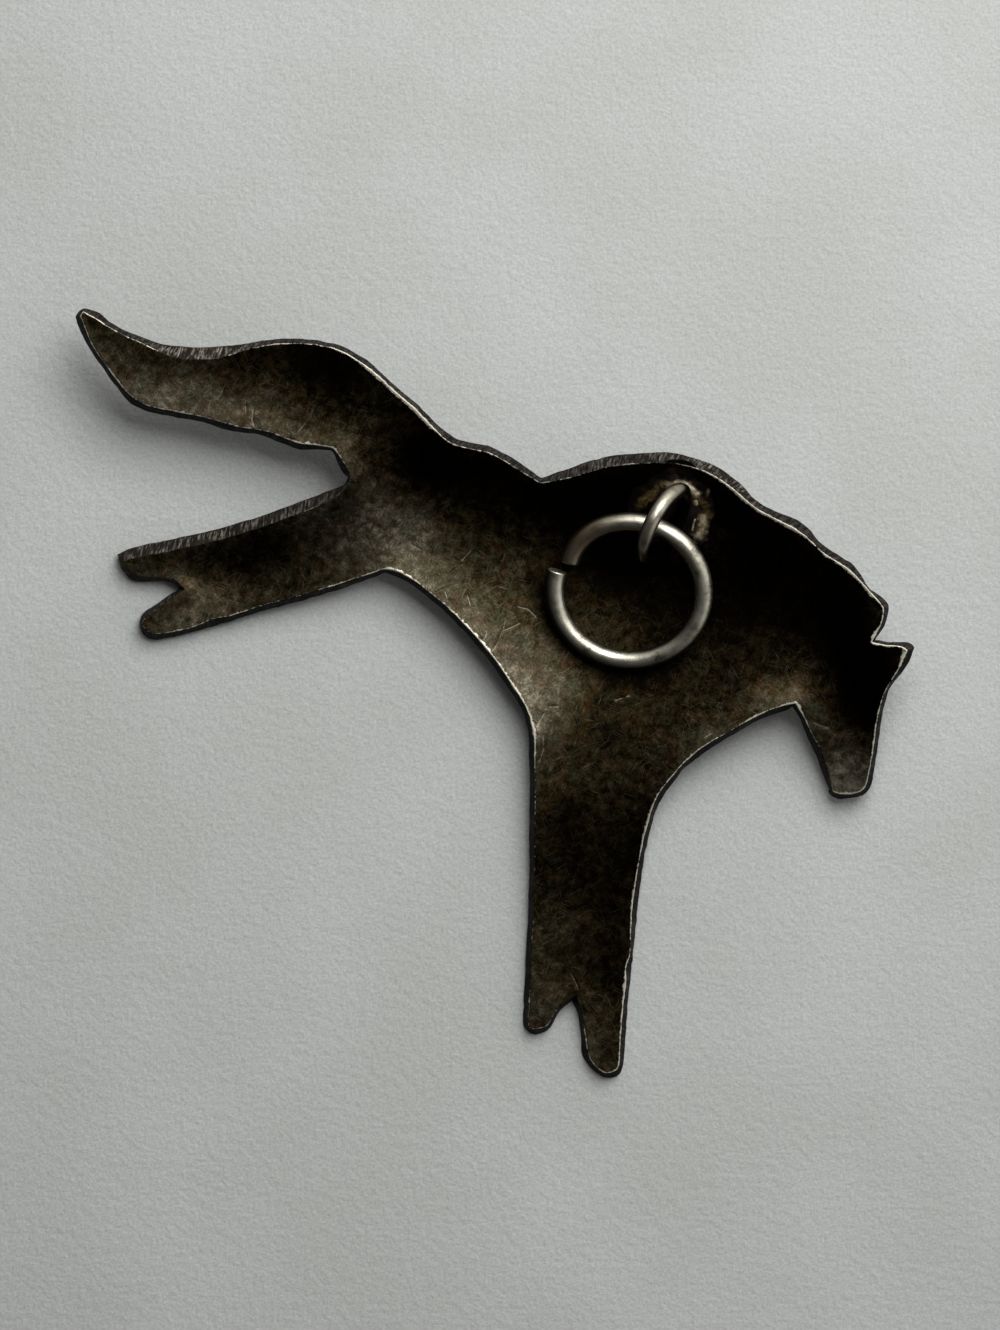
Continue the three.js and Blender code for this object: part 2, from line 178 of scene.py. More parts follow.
def calc(tree, operation, a, b=0.0, clamp=False):
    """One step of arithmetic on two numbers."""
    return put(tree, "Math", {0: a, 1: b}, operation=operation, use_clamp=clamp)


def blend(tree, share, a, b):
    """Colour a where the share is 0 and colour b where it is 1."""
    a, b = (c if isinstance(c, bpy.types.NodeSocket) else (*c, 1) for c in (a, b))
    return put(tree, "Mix", {0: share, 6: a, 7: b}, out=2, data_type="RGBA")


def tinted(tree, colour, tint):
    """The product of two colours."""
    sockets = {0: 1.0, 6: colour, 7: tint}
    return put(tree, "Mix", sockets, out=2, data_type="RGBA", blend_type="MULTIPLY")


def between(tree, value, low, high):
    """0 below low and 1 above high, with an eased step between them."""
    sockets = {"Value": value, "From Min": low, "From Max": high}
    return put(tree, "MapRange", sockets, interpolation_type="SMOOTHSTEP")


def mark(tree, name):
    """A number that was stored with each corner of the mesh."""
    return put(tree, "Attribute", out=2, attribute_name=name)


def in_mm(tree):
    """The place on the piece itself, in mm."""
    place = put(tree, "TexCoord", out=3)
    return put(tree, "VectorMath", {0: place, 3: 1 / MM}, operation="SCALE")


def cloud(tree, place, size, detail=3.0, roughness=0.55):
    """Soft random cloud from 0 to 1 whose patches are about the given size across, in mm."""
    sockets = {"Vector": place, "Scale": 1 / size, "Detail": detail, "Roughness": roughness}
    return put(tree, "TexNoise", sockets)


def swing(tree, cloudy, amount):
    """Half the amount up and down, as the cloud goes from 0 to 1."""
    return calc(tree, "MULTIPLY", calc(tree, "SUBTRACT", cloudy, 0.5), amount)


def ramp(tree, share, stops):
    """Colour that passes through the given stops, each a place from 0 to 1 and a colour."""
    made = tree.nodes.new("ShaderNodeValToRGB")
    tree.links.new(share, made.inputs[0])
    band = made.color_ramp.elements
    for number, (at, tone) in enumerate(stops):
        stop = band[number] if number < 2 else band.new(at)
        stop.position, stop.color = at, (*tone, 1)
    return made.outputs[0]


def hairs(tree, place, angle, length, width, share):
    """Fine scratches at an angle: from 0 to their strength, which differs from one to the next.

    Random points, one to a cell of a grid that is stretched along the scratches, become long thin ovals
    where the distance to the nearest point is small. Only the given share of the cells has one."""
    turned = put(tree, "Mapping", {"Vector": place, "Rotation": (0, 0, -angle)}, vector_type="POINT")
    stretch = (0.7 / length, 0.5 / width, 0)
    stretched = put(tree, "VectorMath", {0: turned, 1: stretch}, operation="MULTIPLY")
    cells = put(tree, "TexVoronoi", {"Vector": stretched, "Scale": 1.0}, voronoi_dimensions="2D").node
    near = between(tree, cells.outputs["Distance"], 0.42, 0.15)
    strength = put(tree, "SeparateColor", {0: cells.outputs["Color"]})
    return calc(tree, "MULTIPLY", near, between(tree, strength, 1 - share, 1.0))


def new_finish(name):
    """A new material, its tree of nodes, and the shader that the recipe has to feed."""
    material = bpy.data.materials.new(name)
    material.use_nodes = True
    tree = material.node_tree
    tree.nodes.clear()
    shader = tree.nodes.new("ShaderNodeBsdfPrincipled")
    target = tree.nodes.new("ShaderNodeOutputMaterial")
    tree.links.new(shader.outputs[0], target.inputs[0])
    return material, tree, shader


def bump(tree, height, depth):
    """Normal of a surface whose height, from 0 to 1, stands for the given depth in mm."""
    return put(tree, "Bump", {"Height": height, "Distance": depth * MM, "Strength": 1.0})


# %% [markdown]
# The light is one big soft window beyond the upper right of the picture, about 53 degrees high, so
# shadows fall down and to the left.

# %% Window
WINDOW = 0.73
WINDOW_AWAY = 160.0
WINDOW_SIZE = 112.0
window_from = unit(np.array([0.34, 0.66, 1.0]))
window_data = bpy.data.lights.new("window", "AREA")
window_data.shape = "SQUARE"
window_data.size = WINDOW_SIZE * MM
# A square lamp gives the middle of a level floor power * cos(a) / (pi * distance^2), a being its angle
# from straight up, and that times 1 / pi is what a white floor shows.
window_data.energy = WINDOW * math.pi**2 * (WINDOW_AWAY * MM) ** 2 / window_from[2]
window = bpy.data.objects.new("window", window_data)
window.location = window_from * WINDOW_AWAY * MM
window.rotation_euler = (
    math.atan2(math.hypot(window_from[0], window_from[1]), window_from[2]),
    0,
    math.atan2(window_from[0], -window_from[1]),
)
window.visible_camera = False
bpy.context.scene.collection.objects.link(window)
window_at = (window_from * WINDOW_AWAY).round(1)
print("window", round(window_data.energy, 4), "W at", window_at, "mm")

# %% [markdown]
# The rest of the room adds a grey from the sides, lighter on the window's side, and is dark overhead,
# where the camera is. That is what makes the hollow so dark: polished or not, dark metal mostly shows
# what it faces. Window and room together light a level surface to about its written colour. The room is
# a tree of nodes too, so the same helper makes it.

# %% Room
ROOM_FAR, ROOM_NEAR, ROOM_OVERHEAD = 0.05, 0.95, 0.06
ROOM_BRIGHT_SIDE = (0.74, 0.67, 0.0)
FAR_SIDE, NEAR_SIDE = -0.4, 0.8
OVERHEAD_STARTS, OVERHEAD_FULL = 0.6, 0.96
world = bpy.data.worlds.new("room")
world.use_nodes = True
room = world.node_tree
way = put(room, "TexCoord")
upwards = put(room, "SeparateXYZ", {0: way}, out=2)
towards_window = put(room, "VectorMath", {0: way, 1: ROOM_BRIGHT_SIDE}, out=1, operation="DOT_PRODUCT")
from_sides = put(room, "MapRange", {
    "Value": towards_window, "From Min": FAR_SIDE, "From Max": NEAR_SIDE,
    "To Min": ROOM_FAR, "To Max": ROOM_NEAR,
})
room_light = put(room, "MapRange", {
    "Value": upwards, "From Min": OVERHEAD_STARTS, "From Max": OVERHEAD_FULL,
    "To Min": from_sides, "To Max": ROOM_OVERHEAD,
}, interpolation_type="SMOOTHSTEP")
room.links.new(room_light, room.nodes["Background"].inputs["Color"])
bpy.context.scene.world = world
bpy.context.scene.view_settings.view_transform = "Standard"
print("room made of", len(room.nodes), "nodes")

# %% [markdown]
# The charm lies on a sheet of pale grey paper. A plane is enough for it, with a faint cloud in its
# colour.

# %% Paper
paper, tree, shader = new_finish("pale_paper")
patches = cloud(tree, in_mm(tree), 14, detail=5)
tint = blend(tree, between(tree, patches, 0.35, 0.65), (0.495, 0.507, 0.485), (0.535, 0.55, 0.53))
flecks = between(tree, cloud(tree, in_mm(tree), 0.16, detail=2), 0.3, 0.7)
flecks = blend(tree, flecks, (0.92,) * 3, (1.07,) * 3)
tint = tinted(tree, tint, flecks)
tree.links.new(tint, shader.inputs["Base Color"])
shader.inputs["Roughness"].default_value = 0.9
shader.inputs["Specular IOR Level"].default_value = 0.2
fibres = cloud(tree, in_mm(tree), 0.5, detail=6, roughness=0.65)
tree.links.new(bump(tree, fibres, 0.085), shader.inputs["Normal"])

HALF_FLOOR = 900.0
square = np.array([[-1, -1, 0], [1, -1, 0], [1, 1, 0], [-1, 1, 0]]) * HALF_FLOOR
floor = add_mesh("paper", square, [[0, 1, 2, 3]])
floor.data.materials.append(paper)
print("paper", 2 * HALF_FLOOR, "mm square at z = 0")


# %% [markdown]
# The horse is a sheet of even thickness with a hollow face, a domed face and a sawn edge between them.
# Its solid has the right shape but only a few thousand corners. Drawing a new one by hand would drift
# from it, and Subdivision Surface would shrink it and round its corners away. So the solid is read: its
# two faces are told apart from the edge by the sharp fold between them.

# %% Read the sheet's solid
def solid_of(node):
    """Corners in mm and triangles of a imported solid, with corners that meet joined into one."""
    mesh = frame["nodes"][node].data
    loose = np.empty(3 * len(mesh.vertices))
    mesh.vertices.foreach_get("co", loose)
    triangles = np.empty(3 * len(mesh.polygons), int)
    mesh.polygons.foreach_get("vertices", triangles)
    corners, number = np.unique((loose.reshape(-1, 3) / MM).round(4), axis=0, return_inverse=True)
    return corners, number.ravel()[triangles].reshape(-1, 3)


def sides_of(triangles):
    """The sides of every triangle as pairs of corner numbers: all the first, the second, and the third."""
    return np.concatenate([triangles[:, [0, 1]], triangles[:, [1, 2]], triangles[:, [2, 0]]])


FOLD = 40


def smooth_faces(corners, triangles):
    """A number for each triangle, the same across every edge that folds by less than FOLD degrees.

    Each triangle starts with its own number, and takes the lowest of its neighbours' until none changes.
    The second result is how far each triangle looks up."""
    p = corners[triangles]
    normals = unit(np.cross(p[:, 1] - p[:, 0], p[:, 2] - p[:, 0]))
    edges = np.sort(sides_of(triangles), axis=1)
    owner = np.tile(np.arange(len(triangles)), 3)
    order = np.lexsort(edges.T)
    a, b = owner[order][0::2], owner[order][1::2]
    flat = (normals[a] * normals[b]).sum(1) > math.cos(math.radians(FOLD))
    a, b = a[flat], b[flat]
    group = np.arange(len(triangles))
    changed = True
    while changed:
        before = group.copy()
        lowest = np.minimum(group[a], group[b])
        np.minimum.at(group, a, lowest)
        np.minimum.at(group, b, lowest)
        group = group[group]
        changed = (before != group).any()
    return group, normals[:, 2]


def outline_of(triangles):
    """Numbers of the corners round a patch of triangles, in order, with the patch on the left hand.

    An edge on the outline belongs to one triangle only, so its reverse isn't in the list."""
    edges = sides_of(triangles)
    span = triangles.max() + 1
    single = edges[~np.isin(edges[:, 0] * span + edges[:, 1], edges[:, 1] * span + edges[:, 0])]
    after = dict(single.tolist())
    walk = [int(single[0, 0])]
    while after[walk[-1]] != walk[0]:
        walk.append(after[walk[-1]])
    return np.array(walk)


sheet_corners, sheet_triangles = solid_of("horse_sheet")
group, upward = smooth_faces(sheet_corners, sheet_triangles)
largest = np.unique(group)[np.argsort(-np.unique(group, return_counts=True)[1])[:2]]
hollow_group, domed_group = sorted(largest, key=lambda g: -upward[group == g].mean())
hollow_triangles = sheet_triangles[group == hollow_group]
domed_triangles = sheet_triangles[group == domed_group]
upper_rim = sheet_corners[outline_of(hollow_triangles)]
lower_rim = sheet_corners[outline_of(domed_triangles)][::-1]
# The two lines start at different corners. The best shift is the one that brings them closest together.
shifts = [
    np.linalg.norm(upper_rim - np.roll(lower_rim, k, axis=0), axis=1).sum() for k in range(len(lower_rim))
]
lower_rim = np.roll(lower_rim, int(np.argmin(shifts)), axis=0)
print("rim corners", len(upper_rim), "edge", round(min(shifts) / len(lower_rim), 2), "mm wide")


# %% [markdown]
# Each face of the sheet becomes one smooth height over the plan. A thin-plate spline is the shape that
# a thin steel plate takes when it is bent through a set of points, which suits hammered sheet well.

# %% Smooth faces of the sheet
AT_ONCE = 2000


def in_parts(places):
    """The places in parts of about AT_ONCE, so that tables of places against knots stay small."""
    return np.array_split(places, len(places) // AT_ONCE + 1)


def plate(knots):
    """Height of a thin plate bent through the knots: their sum of w r^2 log r, plus a slanting plane."""
    count = len(knots)

    def pull(places):
        """r^2 log r from every place to every knot."""
        squares = ((places[:, None] - knots[None, :, :2]) ** 2).sum(2)
        return squares * np.log(squares + 1e-12)

    def plane(places):
        """The three parts of a slanting plane: 1, x and y."""
        return np.column_stack([np.ones(len(places)), places])

    system = np.zeros((count + 3, count + 3))
    system[:count, :count] = pull(knots[:, :2])
    system[:count, count:] = plane(knots[:, :2])
    system[count:, :count] = system[:count, count:].T
    weights = np.linalg.solve(system, np.append(knots[:, 2], np.zeros(3)))

    def height(places):
        """Height in mm of the surface at each place."""
        parts = in_parts(places)
        return np.concatenate([pull(p) @ weights[:count] + plane(p) @ weights[count:] for p in parts])

    return height


hollow_height = plate(sheet_corners[np.unique(hollow_triangles)])
domed_height = plate(sheet_corners[np.unique(domed_triangles)])
BELLY = np.array([[0.0, 6.0]])
thickness = hollow_height(BELLY) - domed_height(BELLY)
print("sheet", round(float(thickness[0]), 2), "mm thick, upright, at the belly")

# %% [markdown]
# The rim is the line that makes the silhouette. The solid's rim has a corner every 0.75 mm. Here it is
# divided finely and eased: broadly along the curves, and only a little at the sharp corners of ears and
# hooves, which the saw left crisp. Small hand-made bulges are then added where the real edge has them.

# %% Rim
RIM_STEP = 0.085
SHARP = 38
CRISP_REACH = 0.35
CRISP_EASE, BROAD_EASE, OUTWARD_EASE = 0.9, 2.2, 1.2
lengths = np.maximum(
    np.linalg.norm(np.roll(upper_rim, -1, axis=0) - upper_rim, axis=1),
    np.linalg.norm(np.roll(lower_rim, -1, axis=0) - lower_rim, axis=1),
)
pieces = np.ceil(lengths / RIM_STEP).astype(int)
rim_part = np.repeat(np.arange(len(upper_rim)), pieces)
rim_share = np.arange(pieces.sum()) - np.repeat(np.cumsum(pieces) - pieces, pieces)
rim_share = (rim_share / pieces[rim_part])[:, None]


def divided(loop):
    """The loop with every part between two corners cut into its number of equal pieces."""
    return loop[rim_part] * (1 - rim_share) + np.roll(loop, -1, axis=0)[rim_part] * rim_share


def eased(loop, reach):
    """Each point becomes the mean of its neighbours, weighted by exp(-d^2 / 2 reach^2), d in steps."""
    offsets = np.arange(-math.ceil(3 * reach), math.ceil(3 * reach) + 1)
    weights = np.exp(-(offsets**2) / (2 * reach**2))
    return sum(w * np.roll(loop, k, axis=0) for w, k in zip(weights / weights.sum(), offsets))


def rounded_loop(loop):
    """The divided loop, eased broadly, and less within CRISP_REACH mm of a corner that turns sharply."""
    before, after = loop - np.roll(loop, 1, axis=0), np.roll(loop, -1, axis=0) - loop
    turn = np.arctan2(
        before[:, 0] * after[:, 1] - before[:, 1] * after[:, 0], (before[:, :2] * after[:, :2]).sum(1)
    )
    corners = loop[np.abs(np.degrees(turn)) > SHARP, :2]
    fine = divided(loop)
    near = np.sqrt(((fine[:, None, :2] - corners[None]) ** 2).sum(2)).min(1)
    keep = np.exp(-((near / CRISP_REACH) ** 2))[:, None]
    return eased(fine, CRISP_EASE) * keep + eased(fine, BROAD_EASE) * (1 - keep)


inner_line = rounded_loop(upper_rim)
outer_line = rounded_loop(lower_rim)
along = np.roll(inner_line, -1, axis=0) - np.roll(inner_line, 1, axis=0)
outward = np.column_stack([along[:, 1], -along[:, 0]])
outward = unit(eased(unit(outward), OUTWARD_EASE))
run = np.cumsum(np.linalg.norm(np.roll(inner_line, 1, axis=0) - inner_line, axis=1))
run_places = np.column_stack([run, np.zeros(len(run))])
print("rim", round(float(run[-1]), 1), "mm long in", len(run), "steps")

# %% [markdown]
# A solid of flat faces leaves out the small lobes and flats of a hand-sawn edge. They are given here as
# places where the outer corner of the edge is seen, read from the tail's tip round by the back,
# the head, the forelegs and the hind legs. Both lines of the rim move out or in by the same eased
# distance to meet them, and what is left over thickens or thins the edge alone.

# %% Hand-sawn lobes
seen_edge = np.array([
    (75, 315), (84, 308), (98, 311), (108, 320), (120, 328), (140, 336.5), (160, 343), (172, 345),
    (205, 346.5), (220, 345.5), (241, 344), (260, 340.5), (284, 338), (300, 337.8), (320, 340),
    (340, 345), (350, 349.7), (360, 355), (370, 361), (380, 371), (390, 380), (400, 388), (420, 406),
    (440, 426), (450, 433.5), (457, 438.5), (470, 442), (488, 445), (500, 450), (510, 455),
    (520, 461.5), (530, 469), (541, 477.5), (550, 474), (570, 467.5), (590, 460), (610, 455.3),
    (630, 453), (650, 451.7), (660, 451.3), (680, 453), (700, 458.5), (720, 466.7), (733, 476.5),
    (744.5, 486.5), (751, 494.5), (759, 502.2), (768, 506.7), (778, 512), (789, 515.2), (797, 519.2),
    (806, 525.4), (812.5, 532), (816.5, 539), (824.5, 545.6), (835.5, 552.5), (844.5, 558.5),
    (852.5, 562.8), (859.5, 571), (864.5, 580), (870, 588.5), (880, 595), (886, 600), (889.5, 605.5),
    (888.5, 613), (885.5, 624.5), (881, 633), (874, 638.5), (887.6, 641.6), (902.8, 642), (912.5, 641),
    (914.3, 645.6), (911, 660), (900, 676), (891, 686.4), (884.4, 708), (879, 740), (874.8, 770),
    (872.4, 783), (867.6, 793), (859.6, 797.6), (840, 800), (831.6, 797.6), (824.4, 780), (818, 761),
    (808, 740), (800, 720), (793.5, 708), (780, 713), (760, 720), (740, 731), (720, 743), (698, 758),
    (683, 770), (670, 788), (660, 803), (654, 817), (645, 855), (639, 896), (636, 930), (631, 975),
    (627, 1021), (623.6, 1065), (619, 1076), (606.6, 1078.6), (591, 1069.5), (581, 1055),
    (580.5, 1032), (577, 1012), (572, 1001), (560, 1010.6), (551, 1028), (541, 1034.4), (532, 1035),
    (522.2, 1026), (523.8, 998), (525, 953), (528.3, 896), (529.5, 783), (528.7, 750), (528.3, 733),
    (523.3, 713), (508, 688), (490, 663), (470, 638), (450, 616.7), (430, 600), (410, 584), (390, 575),
    (385, 573.5), (360, 583), (340, 590), (300, 602), (260, 612), (220, 625), (180, 636), (154, 641),
    (143, 637), (138.4, 623), (143, 612), (160, 601), (174, 591.6), (180, 588), (170, 582),
    (140, 582.4), (130, 580), (120, 568), (117, 555), (120, 551), (140, 545), (180, 537), (210, 530),
    (250, 519), (290, 504.4), (330, 489.7), (342, 485), (347, 480), (340, 469), (332, 450), (300, 450),
    (280, 443), (260, 435), (230, 431.6), (200, 422), (172, 417), (150, 413), (130, 404.4), (110, 379),
    (92, 354), (80, 331.6), (76, 322),
])


def reach_out(line, path):
    """How far, in pixels and outwards, each point of a line is from the nearest point of a closed path."""
    start, step = path, np.roll(path, -1, axis=0) - path
    here = picture_of(line)
    offset = here[:, None] - start[None]
    share = np.clip((offset * step).sum(2) / (step**2).sum(1), 0, 1)
    gap = share[..., None] * step - offset
    nearest = np.take_along_axis(gap, np.linalg.norm(gap, axis=2).argmin(1)[:, None, None], axis=1)[:, 0]
    return (nearest * outward * (1, -1)).sum(1)


LOBE_LIMIT = 0.33
THINNEST, THICKEST = -0.08, 0.3
LOBE_EASE = 3
INNER_EASE = 10
missing = reach_out(outer_line, seen_edge) / PIXELS_PER_MM
lobes = eased(np.clip(missing, -LOBE_LIMIT, LOBE_LIMIT), LOBE_EASE)
inner_line[:, :2] += outward * eased(lobes, INNER_EASE)[:, None]
outer_line[:, :2] += outward * lobes[:, None]
missing = reach_out(outer_line, seen_edge) / PIXELS_PER_MM
thicker = eased(np.clip(missing, THINNEST, THICKEST), LOBE_EASE)
outer_line[:, :2] += outward * thicker[:, None]
left_over = reach_out(outer_line, seen_edge)
print("edge to the eye's reading, px: mean", left_over.mean().round(2), "spread", left_over.std().round(2))


def bumps_at(line, spots):
    """Sum over the spots (x px, y px, reach mm, amount) of amount * exp(-(distance / reach)^2)."""
    spots = np.array(spots)
    here = picture_of(line)
    away = np.linalg.norm(here[:, None] - spots[None, :, :2], axis=2) / PIXELS_PER_MM
    return (spots[:, 3] * np.exp(-((away / spots[:, 2]) ** 2))).sum(1)


# Where the edge is seen wider than the solid's, and where a file has left bright strokes on it.
wider = bumps_at(outer_line, [
    (575, 466, 1.6, 0.05), (620, 455, 2, 0.06), (665, 452, 2, 0.06), (705, 460, 1.6, 0.05),
    (180, 345, 1.2, 0.3), (215, 346, 1.4, 0.38), (912, 652, 0.7, 0.12),
])
inner_line[:, :2] -= outward * wider[:, None]
filed = np.clip(bumps_at(outer_line, [
    (180, 345, 1.5, 0.7), (220, 346, 1.7, 0.8), (150, 542, 2.5, 0.4), (220, 527, 3, 0.45),
    (300, 500, 2.5, 0.3), (620, 455, 3, 0.3), (700, 460, 2, 0.5), (740, 482, 1.5, 0.4),
]), 0, 1)

# %% [markdown]
# The band between the two lines is the sawn edge. Seen square on, its section is a short curve: it
# leaves the hollow face, rounds the inner corner, crosses the edge, rounds the outer corner and ends on
# the domed face. The two corners are quadratic curves with the sharp corner as the middle control
# point. File strokes cross the edge, so the same random line along the rim lifts every row of the band.

# %% Band of the edge
INNER_ROUND = 0.055
OUTER_ROUND = 0.1
MARGIN = 0.13
DOMED_MARGIN = 0.18
SAW_WAVE, SAW_NICK, INNER_NICK = 0.022, 0.02, 0.01
STROKE_DEEP, STROKE_FINE = 0.010, 0.008
hand_cut = SAW_WAVE * lumps(run_places, 1.3, 11) + SAW_NICK * lumps(run_places, 0.45, 12)
outer_line[:, :2] += outward * hand_cut[:, None]
inner_line[:, :2] += outward * (0.5 * hand_cut + INNER_NICK * lumps(run_places, 0.3, 13))[:, None]
inner_line[:, 2] = hollow_height(inner_line[:, :2])
outer_line[:, 2] = domed_height(outer_line[:, :2])


def on_face(line, inwards, height):
    """The line moved inwards over the plan and set on a face."""
    place = line[:, :2] - outward * inwards
    return np.column_stack([place, height(place)])


def corner_curve(start, corner, end, shares):
    """Points (1-t)^2 start + 2 t (1-t) corner + t^2 end."""
    t = np.asarray(shares)[:, None, None]
    return (1 - t) ** 2 * start + 2 * t * (1 - t) * corner + t**2 * end


across = outer_line - inner_line
width = np.linalg.norm(across, axis=1)[:, None]
edge_top = inner_line + across / width * INNER_ROUND
edge_bottom = outer_line - across / width * OUTER_ROUND
ROUND_STEPS = np.linspace(0, 1, 5)
FLAT_STEPS = np.linspace(0, 1, 8)[1:-1]
rows = [
    on_face(inner_line, MARGIN, hollow_height)[None],
    corner_curve(on_face(inner_line, INNER_ROUND, hollow_height), inner_line, edge_top, ROUND_STEPS),
    edge_top + (edge_bottom - edge_top) * FLAT_STEPS[:, None, None],
    corner_curve(edge_bottom, outer_line, on_face(outer_line, OUTER_ROUND, domed_height), ROUND_STEPS),
    on_face(outer_line, DOMED_MARGIN, domed_height)[None],
]
band = np.concatenate(rows)
# One number for each row: how far across the edge it is, how soon it wears bright, how much it is edge.
crossing = np.array([0, 0, 0, 0.02, 0.05, 0.1, *FLAT_STEPS * 0.8 + 0.1, 0.9, 0.95, 1, 1, 1, 1])
row_wear = np.array([0.25, 0.6, 0.9, 1, 0.8, 0.4, 0.05, *[-0.2] * 5, -0.1, 0.0, 0.2, 0.2, 0.0, -0.1])
row_edge = np.array([0, 0, 0.1, 0.5, 1, 1, *[1] * 6, 1, 1, 0.9, 0.4, 0, 0])
RUBBED_ALL_ROUND = 0.36
rubbed = RUBBED_ALL_ROUND + bumps_at(inner_line, [
    (385, 382, 2.4, 0.75), (430, 420, 1.6, 0.5), (745, 492, 1.8, 0.6), (790, 520, 1.6, 0.35),
    (835, 557, 2, 0.45), (868, 590, 1, 0.5), (880, 637, 0.5, 0.7), (905, 655, 0.8, 0.6),
    (880, 745, 1.6, 0.35), (850, 795, 0.9, 0.45), (655, 825, 2, 0.4), (640, 910, 2.4, 0.3),
    (628, 1010, 2.6, 0.25), (624, 986, 0.3, 0.7), (535, 730, 1.2, 0.6), (505, 685, 2, 0.45),
    (460, 625, 2.2, 0.4), (395, 578, 1.4, 0.5), (795, 706, 0.7, 0.5), (760, 720, 1.5, 0.1),
    (315, 446, 1.6, 0.3), (200, 420, 2, 0.1), (620, 463, 3, -0.2), (250, 527, 3.4, -0.5),
    (160, 548, 2.4, -0.5), (200, 362, 1.8, -0.7), (347, 475, 1, -0.4), (532, 880, 4, -0.4),
    (575, 1005, 1, -0.5), (825, 765, 1.6, -0.2), (145, 590, 1.6, -0.3), (526, 985, 2, -0.3),
    (736.7, 489, 0.09, -1.2), (803, 530, 0.1, -1), (843, 563, 0.1, -1), (819, 543, 0.3, -0.6),
    (450, 437, 0.5, -0.4), (648, 840, 0.15, -0.8), (634, 945, 0.4, -0.5),
])
wear = row_wear[:, None] + rubbed - 1
face_out = np.cross(np.roll(inner_line, -1, axis=0) - np.roll(inner_line, 1, axis=0), across)
face_out = -unit(face_out)
strokes = STROKE_DEEP * lumps(run_places, 0.17, 21) + STROKE_FINE * lumps(run_places, 0.31, 22)
stroke_rows = row_edge * (1 - 0.4 * np.abs(crossing - 0.5))
band += face_out[None] * (strokes[None] * stroke_rows[:, None])[..., None]
print("band", band.shape[0], "rows of", band.shape[1], "corners, mean edge", width.mean().round(2), "mm")


# %% [markdown]
# Inside the band each face is filled with staggered rows of points at the height of its smooth face. A
# triangulation joins them to the band's last row, so there is no seam. Light hammer marks are added on
# the way.

# %% Fill the two faces
def inside(places, loop):
    """Whether each place is inside a closed line: a ray to the right crosses it an odd number of times."""
    ahead = np.roll(loop, -1, axis=0)
    rise = np.where(ahead[:, 1] == loop[:, 1], 1e-9, ahead[:, 1] - loop[:, 1])

    def crossings(p):
        """True where the ray from a place crosses the line an odd number of times."""
        spans = (loop[None, :, 1] > p[:, None, 1]) != (ahead[None, :, 1] > p[:, None, 1])
        cut = loop[:, 0] + (p[:, None, 1] - loop[:, 1]) * (ahead[:, 0] - loop[:, 0]) / rise
        return (spans & (cut > p[:, None, 0])).sum(1) % 2 == 1

    return np.concatenate([crossings(p) for p in in_parts(places)])


def distance_to(places, loop):
    """Distance from each place to the nearest point of a line."""
    squares = [((p[:, None] - loop[None]) ** 2).sum(2).min(1) for p in in_parts(places)]
    return np.sqrt(np.concatenate(squares))


def staggered(low, high, step):
    """Points of a triangular lattice over a rectangle: every other row is moved by half a step."""
    y = np.arange(low[1], high[1], step * math.sqrt(0.75))
    x = np.arange(low[0], high[0], step)
    grid_x, grid_y = np.meshgrid(x, y)
    grid_x = grid_x + (np.arange(len(y)) % 2)[:, None] * step / 2
    return np.column_stack([grid_x.ravel(), grid_y.ravel()])


def filled(loop, step, laid=np.zeros((0, 2)), clear=0.0):
    """Plan places inside a loop, and triangles that join them to the loop, whose points come first.

    Laid points are kept as they are, ahead of the lattice, which stays clear of them."""
    places = staggered(loop.min(0), loop.max(0), step)
    places = places[inside(places, loop)]
    places = places[distance_to(places, loop) > 0.55 * step]
    if len(laid):
        places = np.concatenate([laid, places[distance_to(places, laid) > clear]])
    count = len(loop)
    sides = np.column_stack([np.arange(count), (np.arange(count) + 1) % count])
    given = np.concatenate([loop, places])
    found, _, faces, source, _, _ = delaunay_2d_cdt(given.tolist(), sides.tolist(), [], 1, 1e-5)
    found = np.array([tuple(p) for p in found])
    first = np.array([s[0] if s else -1 for s in source])
    added = first < 0
    number = np.where(added, len(given) + np.cumsum(added) - 1, first)
    return np.concatenate([places, found[added]]), number[np.array(faces)]


SCRATCH_STEP, SCRATCH_HALF_WIDTH = 0.06, 0.035


def points_along(path, gone, at):
    """Points of a path at given distances, from the distance gone at each of its corners."""
    return np.column_stack([np.interp(at, gone, path[:, 0]), np.interp(at, gone, path[:, 1])])


def scratch_lines(paths, level):
    """Points SCRATCH_STEP mm apart along paths given in pixels: the middles first, then both sides."""
    middles, sides = [], []
    for path in paths:
        path = seen_at(path, level)
        gone = np.append(0, np.cumsum(np.linalg.norm(np.diff(path, axis=0), axis=1)))
        at = np.linspace(0, gone[-1], max(3, int(gone[-1] / SCRATCH_STEP)))
        middle = points_along(path, gone, at)
        way = unit(np.gradient(middle, axis=0))
        side = np.column_stack([-way[:, 1], way[:, 0]]) * SCRATCH_HALF_WIDTH
        middles.append(middle)
        sides += [middle + side, middle - side]
    return np.concatenate(middles), np.concatenate(sides)


